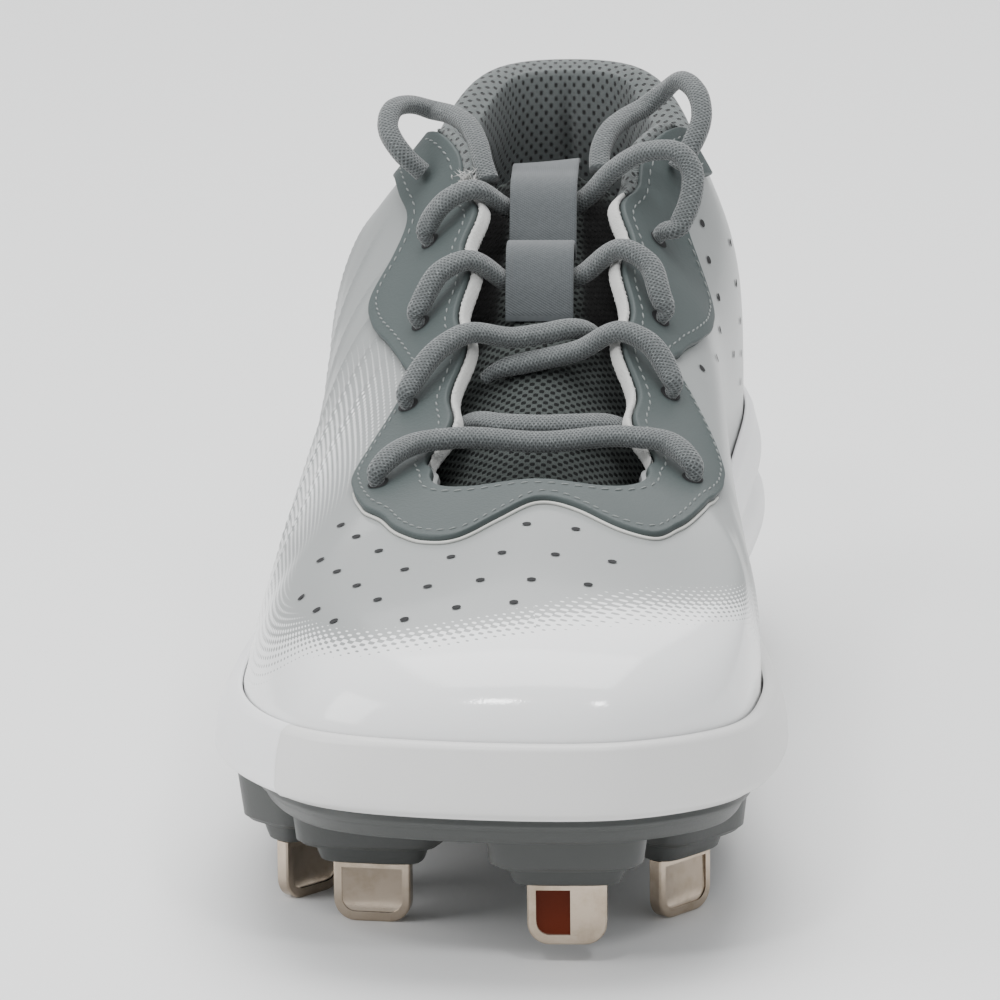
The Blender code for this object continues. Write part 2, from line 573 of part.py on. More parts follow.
def build_midsole(finish):
    around = stations(1)
    base, band = base_height(around), band_height(around)
    heel, swell = SOLE.at(around)[:, 3], SOLE.at(around)[:, 4] * WALL_SWELL
    rings = []
    for inset, height, groove in MIDSOLE_WALL:
        dip = HEEL_GROOVE * groove * np.clip(heel, 0, 1)
        rings.append(sole_ring(around, inset * swell + dip, base + height * band))
    rings.append(sole_ring(around, rim_inset(around), base + band))
    rings.append(sole_ring(around, rim_inset(around) + RIM_WIDTH, base + band))
    rings.append(sole_ring(around, rim_inset(around) + RIM_WIDTH, base + band - RIM_DEPTH))
    return add_stack("midsole", rings, finish)


def spring_at(back):
    """Share of the toe spring at a distance behind the toe tip."""
    medial = OUTLINE_SAMPLES[: len(OUTLINE_SAMPLES) // 2]
    return np.interp(back, medial[:, 0], medial[:, 2])


def stud_seat(back):
    """Height of a pod's underside: only the toe's pod follows the toe spring."""
    return STUD_REACH + 1.5 * TOE_SPRING * max(0.0, spring_at(back) - 0.42)


def build_plate(finish):
    around = stations(1)
    base = base_height(around)
    swell = SOLE.at(around)[:, 4] * WALL_SWELL
    under = 0.95 * swell + 1.2 * MM
    rings = [
        sole_ring(around, under, base - GAP),
        sole_ring(around, under, base - GAP - 0.35 * PLATE_THICKNESS),
        sole_ring(around, under + 0.5 * PLATE_THICKNESS, base - GAP - PLATE_THICKNESS),
    ]
    plate = add_stack("outsole_plate", rings, finish)
    for name, back, side, turn, spread in STUDS:
        seat = stud_seat(back)
        top = SOLE_BASE + TOE_SPRING * spring_at(back) - 0.4 * PLATE_THICKNESS
        sections = []
        for wide, deep, share in POD_LAYERS:
            height = top if share is None else seat + share * POD_HEIGHT
            size = STUD_WIDTH * spread
            sections.append(pod_layer(back, side, turn, wide * size, deep * STUD_WIDTH, height))
        combine(plate, add_tube(name + "_pod", sections, finish), "UNION")
    return plate


def pod_layer(back, side, turn, wide, deep, height, count=12):
    """A level rounded-rectangle loop round a stud."""
    angle = np.arange(count) * 2 * math.pi / count + math.pi / count
    c, s = np.cos(angle), np.sin(angle)
    x = 0.5 * wide * np.sign(c) * np.abs(c) ** 0.6
    y = 0.5 * deep * np.sign(s) * np.abs(s) ** 0.6
    a = math.radians(turn)
    return place(back + x * math.sin(a) + y * math.cos(a), side + x * math.cos(a) - y * math.sin(a), height)


def stud_outline(width, height, corner, steps=3):
    """Face of a stud, with square top corners and round lower ones, from the top left."""
    points = [(-0.5 * width, 0.0)]
    for centre, start in ((-1, 180), (1, 270)):
        for k in range(steps + 1):
            a = math.radians(start + 90 * k / steps)
            x = centre * (0.5 * width - corner) + corner * math.cos(a)
            points.append((x, -height + corner + corner * math.sin(a)))
    points.append((0.5 * width, 0.0))
    return points


def build_stud(name, back, side, turn, finish):
    seat = stud_seat(back)
    height = STUD_REACH - GAP
    low = seat - GAP
    rim = stud_outline(STUD_WIDTH, height, STUD_CORNER)
    panel = stud_outline(STUD_WIDTH - 2 * STUD_RIM, height - 2 * STUD_RIM, STUD_CORNER - STUD_RIM)
    panel = [(x, z - 0.8 * STUD_RIM) for x, z in panel]
    half = 0.5 * STUD_THICKNESS
    floor = half - STUD_RECESS
    loops = [(panel, -floor), (panel, -half), (rim, -half), (rim, half), (panel, half), (panel, floor)]
    a = math.radians(turn)
    sections = []
    for shape, depth in loops:
        x = np.array([p[0] for p in shape])
        z = np.array([p[1] for p in shape])
        across_back = back + x * math.sin(a) + depth * math.cos(a)
        across_side = side + x * math.cos(a) - depth * math.sin(a)
        sections.append(place(across_back, across_side, low + z))
    return add_tube(name, sections, finish)


def build_upper(finish):
    around = stations()
    length = section_length(around)
    outer = (1.0, 0.92, 0.80, 0.66, 0.51, 0.37, 0.24, 0.12, 0.0)
    inner = (0.0, 0.14, 0.34, 0.62, 0.86, 1.0)
    edge = edge_drop(around)
    rows = [upper_surface(around, edge + share * (length - edge)) for share in outer]
    rows += [upper_surface(around, edge + share * (length - edge), -WALL) for share in inner]
    return add_tube("upper", np.stack(rows, axis=1), finish, closed=True)


def part_of_stations(first, last):
    """The upper's own sections between two numbers, either of which may be below zero."""
    found = np.concatenate([stations() - STATIONS, stations()])
    return found[(found >= first - 0.01) & (found <= last + 0.01)]


def build_eyestay(finish):
    keys, shares = zip(*EYESTAY_REACH)
    around = part_of_stations(keys[0], keys[-1])
    width = THROAT_WIDTH * smooth_between(keys, shares, around)
    edge = edge_drop(around) + OVERLAY_SETBACK
    belows = [edge + share * (width - edge) for share in (1.0, 0.5, 0.0)]
    rows = [upper_surface(around, below, OVERLAY_GAP + OVERLAY) for below in belows]
    rows += [upper_surface(around, below, OVERLAY_GAP) for below in belows[::-1]]
    return add_tube("eyestay", np.stack(rows, axis=1), finish)


def build_collar(finish):
    around = part_of_stations(*COLLAR_SPAN)
    end = np.minimum(around - COLLAR_SPAN[0], COLLAR_SPAN[1] - around)
    full = np.clip(end / COLLAR_FADE, 0, 1)
    full = full * full * (3 - 2 * full)
    drop = COLLAR_DROP * (0.25 + 0.75 * full)
    pad = COLLAR_PAD * (0.45 + 0.55 * full)
    roll = COLLAR_ROLL * (0.2 + 0.8 * full)
    inside = np.full_like(pad, WALL + COLLAR_CLEARANCE)
    loop = [(share * drop, inside) for share in (1.0, 0.5)]
    loop += [(-GAP, inside), (-GAP, 0.03 * pad)]
    loop += [(-share * roll - GAP, depth * pad) for share, depth in COLLAR_ABOVE]
    loop += [(share * drop, inside + depth * (pad - WALL)) for share, depth in COLLAR_BELOW]
    rows = [upper_surface(around, below, -depth) for below, depth in loop]
    return add_tube("collar_pad", np.stack(rows, axis=1), finish)


def build_insole(finish):
    around = stations(1, 2)
    floor = base_height(around) + band_height(around) - RIM_DEPTH + GAP
    inset = rim_inset(around) + RIM_WIDTH + WALL + 3 * GAP
    cup = INSOLE_THICKNESS * (1 + 0.5 * np.clip(SOLE.at(around)[:, 3], 0, 1))
    rings = [
        sole_ring(around, inset + 1 * MM, floor),
        sole_ring(around, inset, floor + 0.3 * INSOLE_THICKNESS),
        sole_ring(around, inset + 0.6 * MM, floor + cup),
        sole_ring(around, inset + 2.4 * MM, floor + cup),
        sole_ring(around, inset + 8 * MM, floor + INSOLE_THICKNESS),
    ]
    return add_stack("insole", rings, finish)


def tongue_line(share):
    """Points down the middle of the tongue's top face and the half width there."""
    backs = np.array([row[0] for row in TONGUE_SECTIONS])
    values = [(row[1], row[2]) for row in TONGUE_SECTIONS]
    back = backs[0] + share * (backs[-1] - backs[0])
    found = smooth_between(backs, values, back)
    return back, found[..., 0] + SOLE_BASE, 0.5 * TONGUE_WIDTH * found[..., 1]


def tongue_point(share, across, sink=0.0):
    """A point of the tongue: share of its length, share of its half width, depth below its top."""
    back, height, half = tongue_line(share)
    arch = 0.55 * half * (1 - np.cos(0.5 * math.pi * np.abs(across)))
    return place(back, TONGUE_OFFSET + across * half, height - arch - sink)


def build_tongue(finish):
    shares = np.linspace(0, 1, 15)
    across = np.linspace(-1, 1, 9)
    sections = []
    for share in shares:
        thick = TONGUE_THICKNESS * (0.75 + 0.25 * math.sin(math.pi * share))
        top = [tongue_point(share, a) for a in across]
        low = [tongue_point(share, 0.97 * a, thick * (1 - 0.55 * abs(a) ** 3)) for a in across[::-1]]
        sections.append(np.array(top + low))
    return add_tube("tongue", sections, finish)


def build_keeper(finish):
    shares, lifts = zip(*KEEPER_SECTIONS)
    share = np.linspace(shares[0], shares[-1], 25)
    lift = GAP + KEEPER_SLOT * smooth_between(shares, lifts, share)
    low = [tongue_point(share, 0.0, -lift), tongue_point(share, 0.0, -lift - KEEPER_THICKNESS)]
    half = np.array([0.5 * KEEPER_WIDTH, 0.0, 0.0])
    rows = [low[0] - half, low[0] + half, low[1] + half, low[1] - half]
    return add_tube("tongue_keeper", np.stack(rows, axis=1), finish)


def throat_point(row, across, rise):
    """A point over the throat, between its two edges, or over the eyestay outside them."""
    row, across = np.array([row]), np.array([across])
    lift = rise * LACE_THICKNESS + OVERLAY_GAP + OVERLAY
    below = edge_drop(row)
    lateral, medial = upper_surface(-row, below, lift)[0], upper_surface(row, below, lift)[0]
    if across[0] < 0:
        return upper_surface(-row, below - across * THROAT_WIDTH, lift)[0]
    if across[0] > 1:
        return upper_surface(row, below + (across - 1) * THROAT_WIDTH, lift)[0]
    return lateral + across[0] * (medial - lateral)


def smooth_path(points, count):
    """Evenly spaced points of a smooth curve through a few points."""
    points = np.asarray(points)
    spans = np.linalg.norm(np.diff(points, axis=0), axis=1)
    keys = np.concatenate([[0.0], np.cumsum(spans)])
    return smooth_between(keys, points, np.linspace(0, keys[-1], count))


def add_cord(name, path, width, thickness, finish, sides=6):
    """A rounded cord along a path, lying with its width level."""
    ahead = np.gradient(path, axis=0)
    ahead /= np.linalg.norm(ahead, axis=1, keepdims=True)
    up = np.array([0.0, -math.sin(LACE_TILT), math.cos(LACE_TILT)])
    across = np.cross(ahead, up)
    across /= np.linalg.norm(across, axis=1, keepdims=True)
    top = np.cross(across, ahead)
    sections = []
    for k in range(len(path)):
        loop = []
        for i in range(sides):
            a = 2 * math.pi * (i + 0.5) / sides
            aside, above = 0.5 * width * math.cos(a), 0.5 * thickness * math.sin(a)
            loop.append(path[k] + aside * across[k] + above * top[k])
        sections.append(loop)
    return add_tube(name, sections, finish)


def build_laces(finish):
    for name, rows in LACE_STRANDS.items():
        path = smooth_path([throat_point(*row) for row in rows], 2 * len(rows) - 1)
        add_cord(name, path, LACE_WIDTH, LACE_THICKNESS, finish)
    for name, rows in LACE_LOOPS.items():
        back, side, rise = np.array(rows).T
        path = smooth_path(place(back, side, rise + SOLE_BASE), 22)
        add_cord(name, path, LOOP_THICKNESS, LOOP_THICKNESS, finish)


def clear_scene():
    for old in list(bpy.data.objects):
        bpy.data.objects.remove(old)


def main():
    clear_scene()
    foam = material("white_foam", (0.80, 0.81, 0.83), 0.45)
    plate = material("grey_plate", (0.14, 0.15, 0.155), 0.45)
    steel = material("polished_steel", (0.62, 0.60, 0.57), 0.22, 1.0)
    synthetic = material("light_grey_synthetic", (0.50, 0.52, 0.53), 0.35)
    overlay = material("dark_grey_synthetic", (0.19, 0.21, 0.22), 0.5)
    knit = material("grey_mesh", (0.14, 0.15, 0.155), 0.85)
    webbing = material("grey_webbing", (0.17, 0.19, 0.20), 0.7)
    braid = material("grey_braid", (0.16, 0.18, 0.19), 0.8)
    build_midsole(foam)
    build_plate(plate)
    for name, back, side, turn, _ in STUDS:
        build_stud(name, back, side, turn, steel)
    build_upper(synthetic)
    build_eyestay(overlay)
    build_collar(knit)
    build_insole(knit)
    build_tongue(knit)
    build_keeper(webbing)
    build_laces(braid)


main()
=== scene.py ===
"""Looks of the baseball cleat: every surface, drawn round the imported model.

Metres, +Z up, the toe along -Y and the inner (medial) side of the foot at +X. The upper, sole,
tongue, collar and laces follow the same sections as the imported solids, with finer steps.
"""

import math

import bmesh
import bpy
import numpy as np
from mathutils import Matrix, Vector


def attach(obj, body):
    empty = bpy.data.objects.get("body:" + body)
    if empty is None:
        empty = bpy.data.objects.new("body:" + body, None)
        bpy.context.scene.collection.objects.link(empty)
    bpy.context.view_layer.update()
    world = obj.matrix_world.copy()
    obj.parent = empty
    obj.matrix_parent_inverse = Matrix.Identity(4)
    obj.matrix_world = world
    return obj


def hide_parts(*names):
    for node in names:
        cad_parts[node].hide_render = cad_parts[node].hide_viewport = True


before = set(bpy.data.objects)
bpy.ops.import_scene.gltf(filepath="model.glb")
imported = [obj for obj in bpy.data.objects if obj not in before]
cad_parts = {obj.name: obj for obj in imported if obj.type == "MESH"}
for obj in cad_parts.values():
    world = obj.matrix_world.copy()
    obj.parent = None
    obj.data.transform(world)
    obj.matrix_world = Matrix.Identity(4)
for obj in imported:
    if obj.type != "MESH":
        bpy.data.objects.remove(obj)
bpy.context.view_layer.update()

MM = 0.001

# Sizes of the shoe
LENGTH = 296 * MM
BALL_WIDTH = 104 * MM
HEEL_WIDTH = 84 * MM
HEEL_OFFSET = 8 * MM
STUD_REACH = 11.6 * MM
POD_HEIGHT = 7.3 * MM
PLATE_THICKNESS = 5 * MM
TOE_SPRING = 7.5 * MM
BAND_HEIGHT = 14 * MM
HEEL_BAND_HEIGHT = 30 * MM
GAP = 0.3 * MM
VAMP_RISE = 48.5 * MM
INSTEP_RISE = 97 * MM
HEEL_RISE = 90 * MM
THROAT_OFFSET = 8.2 * MM
THROAT_WIDTH = 28 * MM
THROAT_SCALLOP = 2.6 * MM
FIRST_ROW, LAST_ROW = 3, 7
RIM_WIDTH = 1.3 * MM
RIM_DEPTH = 7 * MM
RIM_TUCK = 0.62
WALL_SWELL = 4 * MM
HEEL_GROOVE = 1.6 * MM
WALL = 2.2 * MM
OVERLAY = 1.2 * MM
OVERLAY_GAP = 0.5 * MM
OVERLAY_SETBACK = 0.8 * MM
COLLAR_PAD = 7 * MM
COLLAR_ROLL = 3.2 * MM
COLLAR_DROP = 40 * MM
COLLAR_SPAN = (7.833, 16.167)
COLLAR_FADE = 1.6
COLLAR_CLEARANCE = 1 * MM
INSOLE_THICKNESS = 4.5 * MM
TONGUE_OFFSET = 6.4 * MM
TONGUE_WIDTH = 52 * MM
TONGUE_THICKNESS = 5 * MM
KEEPER_WIDTH = 13.2 * MM
KEEPER_THICKNESS = 1.1 * MM
KEEPER_SLOT = 7.5 * MM
LACE_WIDTH = 5.6 * MM
LACE_THICKNESS = 4 * MM
LOOP_THICKNESS = 4.2 * MM
LACE_TILT = math.radians(25)
STUD_WIDTH = 14.2 * MM
STUD_THICKNESS = 2.8 * MM
STUD_CORNER = 4 * MM
STUD_RECESS = 0.5 * MM
STUD_RIM = 1.5 * MM
SOLE_BASE = STUD_REACH + POD_HEIGHT + PLATE_THICKNESS + GAP
STATIONS = 24

# Sole sections: distance behind the toe tip, side, share of the toe spring, share of the
# heel's extra band height, and share of the wall's swell
SOLE_SECTIONS = (
    (0.000 * LENGTH, 0.115 * BALL_WIDTH, 1.00, 0.00, 0.20),
    (0.014 * LENGTH, 0.302 * BALL_WIDTH, 0.96, 0.00, 0.25),
    (0.068 * LENGTH, 0.448 * BALL_WIDTH, 0.76, 0.00, 0.50),
    (0.155 * LENGTH, 0.503 * BALL_WIDTH, 0.42, 0.00, 0.80),
    (0.240 * LENGTH, 0.513 * BALL_WIDTH, 0.20, 0.00, 0.90),
    (0.360 * LENGTH, 0.478 * BALL_WIDTH, 0.04, 0.03, 0.90),
    (0.500 * LENGTH, 0.430 * BALL_WIDTH, 0.00, 0.24, 0.90),
    (0.620 * LENGTH, HEEL_OFFSET + 0.440 * HEEL_WIDTH, 0.00, 0.55, 0.90),
    (0.720 * LENGTH, HEEL_OFFSET + 0.475 * HEEL_WIDTH, 0.00, 0.82, 0.95),
    (0.820 * LENGTH, HEEL_OFFSET + 0.490 * HEEL_WIDTH, 0.00, 0.98, 1.00),
    (0.915 * LENGTH, HEEL_OFFSET + 0.410 * HEEL_WIDTH, 0.02, 1.00, 1.00),
    (0.977 * LENGTH, HEEL_OFFSET + 0.235 * HEEL_WIDTH, 0.08, 0.98, 1.00),
    (1.000 * LENGTH, HEEL_OFFSET, 0.10, 0.96, 1.00),
    (0.977 * LENGTH, HEEL_OFFSET - 0.235 * HEEL_WIDTH, 0.08, 0.98, 1.00),
    (0.915 * LENGTH, HEEL_OFFSET - 0.410 * HEEL_WIDTH, 0.02, 1.00, 1.00),
    (0.820 * LENGTH, HEEL_OFFSET - 0.490 * HEEL_WIDTH, 0.00, 0.98, 1.00),
    (0.720 * LENGTH, HEEL_OFFSET - 0.505 * HEEL_WIDTH, 0.00, 0.80, 1.00),
    (0.620 * LENGTH, HEEL_OFFSET - 0.540 * HEEL_WIDTH, 0.00, 0.50, 1.05),
    (0.500 * LENGTH, -0.402 * BALL_WIDTH, 0.00, 0.22, 1.20),
    (0.370 * LENGTH, -0.468 * BALL_WIDTH, 0.04, 0.05, 1.35),
    (0.255 * LENGTH, -0.492 * BALL_WIDTH, 0.18, 0.00, 1.50),
    (0.160 * LENGTH, -0.464 * BALL_WIDTH, 0.40, 0.00, 1.40),
    (0.070 * LENGTH, -0.364 * BALL_WIDTH, 0.75, 0.00, 0.90),
    (0.018 * LENGTH, -0.182 * BALL_WIDTH, 0.94, 0.00, 0.40),
)

# Upper sections: where the section meets the throat or collar edge (behind the toe tip,
# side, height above the midsole's underside), then the bulge that leaves the sole (lean in
# degrees, reach) and the shoulder that arrives at the edge (slope in degrees, reach)
TO, TW, VR, IR, HR, HO, HW = (
    THROAT_OFFSET, THROAT_WIDTH, VAMP_RISE, INSTEP_RISE, HEEL_RISE, HEEL_OFFSET, HEEL_WIDTH)
UPPER_SECTIONS = (
    (0.294 * LENGTH, TO, 0.98 * VR, -2, 0.39 * VR, 9, 0.17 * LENGTH),
    (0.291 * LENGTH, TO + 0.38 * TW, 0.96 * VR, -2, 0.39 * VR, 13, 0.15 * LENGTH),
    (0.300 * LENGTH, TO + 0.66 * TW, 0.97 * VR, -1, 0.40 * VR, 20, 0.11 * LENGTH),
    (0.338 * LENGTH, TO + 0.640 * TW, 0.518 * IR, 0, 0.42 * VR, 22, 0.078 * LENGTH),
    (0.405 * LENGTH, TO + 0.520 * TW, 0.607 * IR, 1, 0.50 * VR, 34, 0.080 * LENGTH),
    (0.476 * LENGTH, TO + 0.470 * TW, 0.725 * IR, 3, 0.66 * VR, 42, 0.085 * LENGTH),
    (0.547 * LENGTH, TO + 0.460 * TW, 0.820 * IR, 8, 0.80 * VR, 44, 0.090 * LENGTH),
    (0.615 * LENGTH, TO + 0.490 * TW, 0.905 * IR, 6, 0.80 * VR, 48, 0.090 * LENGTH),
    (0.690 * LENGTH, TO + 0.86 * TW, 0.960 * IR, 4, 0.70 * VR, 58, 0.085 * LENGTH),
    (0.800 * LENGTH, HO + 0.365 * HW, 0.850 * HR, 0, 0.42 * VR, 76, 0.060 * LENGTH),
    (0.905 * LENGTH, HO + 0.310 * HW, 0.905 * HR, 3, 0.46 * VR, 82, 0.070 * LENGTH),
    (0.958 * LENGTH, HO + 0.200 * HW, 0.985 * HR, 7, 0.50 * VR, 82, 0.080 * LENGTH),
    (0.972 * LENGTH, HO, 1.000 * HR, 8, 0.50 * VR, 83, 0.085 * LENGTH),
    (0.958 * LENGTH, HO - 0.200 * HW, 0.985 * HR, 7, 0.50 * VR, 82, 0.080 * LENGTH),
    (0.905 * LENGTH, HO - 0.310 * HW, 0.905 * HR, 3, 0.46 * VR, 82, 0.070 * LENGTH),
    (0.800 * LENGTH, HO - 0.365 * HW, 0.840 * HR, 0, 0.42 * VR, 76, 0.060 * LENGTH),
    (0.690 * LENGTH, TO - 0.86 * TW, 0.950 * IR, 12, 0.85 * VR, 52, 0.095 * LENGTH),
    (0.615 * LENGTH, TO - 0.530 * TW, 0.895 * IR, 13, 0.98 * VR, 44, 0.105 * LENGTH),
    (0.547 * LENGTH, TO - 0.500 * TW, 0.812 * IR, 4, 0.90 * VR, 42, 0.108 * LENGTH),
    (0.476 * LENGTH, TO - 0.510 * TW, 0.718 * IR, -4, 0.68 * VR, 40, 0.104 * LENGTH),
    (0.405 * LENGTH, TO - 0.525 * TW, 0.603 * IR, -11, 0.50 * VR, 32, 0.092 * LENGTH),
    (0.338 * LENGTH, TO - 0.640 * TW, 0.514 * IR, -16, 0.40 * VR, 21, 0.085 * LENGTH),
    (0.300 * LENGTH, TO - 0.66 * TW, 0.96 * VR, -17, 0.39 * VR, 20, 0.108 * LENGTH),
    (0.291 * LENGTH, TO - 0.38 * TW, 0.96 * VR, -9, 0.39 * VR, 13, 0.145 * LENGTH),
)

# Side wall of the midsole, from the underside up: inset as a share of the swell, height as a
# share of the band, and share of the heel groove
MIDSOLE_WALL = (
    (0.95, 0.00, 0.0), (0.22, 0.12, 0.0), (0.00, 0.38, 0.0), (0.05, 0.52, 1.0),
    (0.12, 0.64, 0.0), (0.45, 0.93, 0.0),
)

# Eyestay: section number, counted from the toe tip, and how far the overlay reaches below the
# section's end there, as a share of the throat's width
EYESTAY_REACH = (
    (-8.00, 0.46), (-7.50, 0.58), (-7.15, 0.61), (-6.80, 0.78), (-6.40, 0.98), (-5.95, 0.95),
    (-5.40, 0.77), (-4.95, 0.62), (-4.60, 0.53), (-4.30, 0.67), (-4.05, 0.83), (-3.72, 0.96),
    (-3.40, 0.88), (-2.80, 0.69), (-1.90, 0.54), (-1.45, 0.70), (-1.16, 0.83), (-0.82, 0.87),
    (-0.45, 0.62), (0.00, 0.35), (0.50, 0.43), (0.84, 0.72), (1.10, 0.80), (1.55, 0.64),
    (2.10, 0.52), (2.68, 0.60), (3.30, 0.86), (3.90, 1.12), (4.25, 1.18), (4.50, 1.02),
    (4.66, 0.80), (4.82, 0.57), (5.15, 0.64), (5.70, 0.85), (6.25, 1.00), (6.65, 1.01),
    (6.92, 0.81), (7.12, 0.62), (7.40, 0.50), (8.00, 0.42),
)

# Collar pad, as a loop: distance along the section past the edge, as a share of the roll
# (above) or of the drop (below), and depth inside the outer surface, as a share of the pad
COLLAR_ABOVE = ((0.75, 0.16), (1.00, 0.50), (0.80, 0.95), (0.25, 1.20))
COLLAR_BELOW = ((0.20, 1.32), (0.45, 1.10), (0.72, 0.62), (1.00, 0.25))

# Lace strands, over the throat: lace row (a section number), share of the way from the
# lateral edge of the throat to the medial edge, and rise as a share of the lace's thickness
LACE_STRANDS = {
    "lace_row_1": (
        (3.00, -0.42, 0.56), (3.00, -0.36, 0.72), (3.04, -0.14, 0.80), (3.08, 0.10, 0.62),
        (3.10, 0.50, 0.30), (3.08, 0.90, 0.62), (3.03, 1.12, 0.80), (2.97, 1.28, 0.72), (2.96, 1.34, 0.56),
    ),
    "lace_row_2_over": (
        (4.20, -0.40, 0.56), (4.24, -0.34, 0.75), (4.38, -0.12, 0.95), (4.50, 0.04, 0.60),
        (4.62, 0.30, -0.40), (4.70, 0.50, -0.50), (4.80, 0.68, -0.60), (4.88, 0.80, -1.10),
        (4.94, 0.90, -1.75), (4.98, 1.00, -2.20), (5.00, 1.05, -2.35),
    ),
    "lace_row_2_under": (
        (4.32, 1.40, 0.56), (4.36, 1.34, 0.75), (4.44, 1.12, 0.95), (4.50, 0.96, 0.60),
        (4.52, 0.75, -1.00), (4.50, 0.50, -1.42), (4.46, 0.30, -1.50), (4.42, 0.16, -1.50),
        (4.40, 0.05, -1.72), (4.38, -0.03, -1.85),
    ),
    "lace_row_3": (
        (5.24, -0.37, 0.56), (5.28, -0.31, 0.75), (5.40, -0.12, 1.00), (5.48, 0.03, 0.55),
        (5.56, 0.145, -1.60), (5.64, 0.23, -2.30), (5.68, 0.45, -2.24), (5.66, 0.63, -2.20),
        (5.60, 0.78, -1.60), (5.56, 0.95, 0.75), (5.46, 1.12, 1.00), (5.26, 1.24, 0.75), (5.22, 1.30, 0.56),
    ),
    "lace_row_4": (
        (6.55, -0.42, 0.56), (6.58, -0.36, 0.75), (6.62, -0.14, 1.00), (6.68, 0.04, 0.65),
        (6.78, 0.16, -1.15), (6.86, 0.27, -2.15), (6.88, 0.44, -2.20), (6.88, 0.62, -2.10),
        (6.92, 0.76, -1.10), (7.02, 0.82, 0.80), (7.08, 0.92, 2.20), (7.05, 1.06, 2.90),
        (6.92, 1.18, 3.00), (6.72, 1.30, 2.60), (6.54, 1.38, 1.80), (6.46, 1.39, 1.10), (6.47, 1.35, 0.56),
    ),
}

# The strand that crosses low behind the first row, in the same columns
LOW_STRAND = (
    (3.85, -0.05, -1.60), (3.80, 0.06, -1.30), (3.66, 0.25, -0.95), (3.60, 0.50, -0.85),
    (3.64, 0.72, -0.95), (3.74, 0.94, -1.35), (3.80, 1.05, -1.60),
)

# Lace loops round the top of each ear: distance behind the toe tip, side, height above the
# midsole's underside
LACE_LOOPS = {
    "lace_loop_lateral": (
        (0.641 * LENGTH, TO - 0.94 * TW, 0.895 * IR),
        (0.640 * LENGTH, TO - 1.08 * TW, 0.935 * IR),
        (0.654 * LENGTH, TO - 1.19 * TW, 0.980 * IR),
        (0.672 * LENGTH, TO - 1.16 * TW, 1.010 * IR),
        (0.688 * LENGTH, TO - 1.03 * TW, 1.010 * IR),
        (0.694 * LENGTH, TO - 0.90 * TW, 0.996 * IR),
        (0.684 * LENGTH, TO - 0.76 * TW, 0.992 * IR),
        (0.664 * LENGTH, TO - 0.62 * TW, 0.978 * IR),
        (0.645 * LENGTH, TO - 0.545 * TW, 0.950 * IR),
        (0.628 * LENGTH, TO - 0.50 * TW, 0.915 * IR),
        (0.618 * LENGTH, TO - 0.46 * TW, 0.890 * IR),
    ),
    "lace_loop_medial": (
        (0.636 * LENGTH, TO + 0.87 * TW, 0.904 * IR),
        (0.640 * LENGTH, TO + 0.96 * TW, 0.945 * IR),
        (0.654 * LENGTH, TO + 1.04 * TW, 1.000 * IR),
        (0.672 * LENGTH, TO + 1.00 * TW, 1.045 * IR),
        (0.688 * LENGTH, TO + 0.88 * TW, 1.060 * IR),
        (0.697 * LENGTH, TO + 0.76 * TW, 1.030 * IR),
        (0.696 * LENGTH, TO + 0.63 * TW, 1.000 * IR),
        (0.684 * LENGTH, TO + 0.50 * TW, 0.985 * IR),
        (0.665 * LENGTH, TO + 0.38 * TW, 0.965 * IR),
        (0.646 * LENGTH, TO + 0.32 * TW, 0.930 * IR),
        (0.634 * LENGTH, TO + 0.32 * TW, 0.903 * IR),
    ),
}

# Keeper: share of the tongue's length, and lift off the tongue as a share of the slot
KEEPER_SECTIONS = (
    (0.545, 0.0), (0.562, 0.6), (0.580, 1.0), (0.650, 1.0), (0.690, 0.5), (0.715, 0.0),
    (0.740, 0.5), (0.765, 1.0), (0.860, 1.0), (0.940, 0.5), (0.985, 0.0),
)

# Tongue: distance behind the toe tip, height above the midsole's underside, share of width
TONGUE_SECTIONS = (
    (0.270 * LENGTH, 0.80 * VR, 0.88),
    (0.330 * LENGTH, 0.93 * VR, 0.92),
    (0.400 * LENGTH, 0.550 * IR, 0.90),
    (0.480 * LENGTH, 0.650 * IR, 0.84),
    (0.560 * LENGTH, 0.740 * IR, 0.78),
    (0.630 * LENGTH, 0.815 * IR, 0.72),
    (0.690 * LENGTH, 0.890 * IR, 0.66),
)

# Studs: name, distance behind the toe tip, side, turn about the vertical in degrees, and the
# spread of the pod that carries the stud
STUDS = (
    ("stud_toe", 0.064 * LENGTH, 0.146 * BALL_WIDTH, 0, 1.20),
    ("stud_front_lateral", 0.155 * LENGTH, -0.202 * BALL_WIDTH, -8, 1.18),
    ("stud_front_medial", 0.172 * LENGTH, 0.334 * BALL_WIDTH, 50, 1.00),
    ("stud_side_lateral", 0.212 * LENGTH, -0.325 * BALL_WIDTH, 48, 1.00),
    ("stud_ball_medial", 0.345 * LENGTH, 0.330 * BALL_WIDTH, -12, 1.10),
    ("stud_ball_lateral", 0.365 * LENGTH, -0.335 * BALL_WIDTH, 12, 1.10),
    ("stud_heel_medial", 0.800 * LENGTH, HO + 0.300 * HW, 70, 1.00),
    ("stud_heel_lateral", 0.800 * LENGTH, HO - 0.300 * HW, -70, 1.00),
    ("stud_heel_back", 0.920 * LENGTH, HO, 0, 1.10),
)

# White toe: section number, distance below the edge in mm where its dashes start, and where
# the white is full
TOE_FADE = (
    (-7.0, 75, 110), (-6.0, 64, 100), (-5.0, 52, 88), (-4.3, 46, 78), (-3.6, 44, 74), (-2.9, 50, 72),
    (-2.0, 55, 68), (-1.0, 62, 71), (-0.2, 60, 71), (0.8, 47, 64), (1.6, 43, 60), (2.4, 44, 60),
    (3.2, 48, 66), (4.0, 60, 82), (5.0, 78, 100),
)

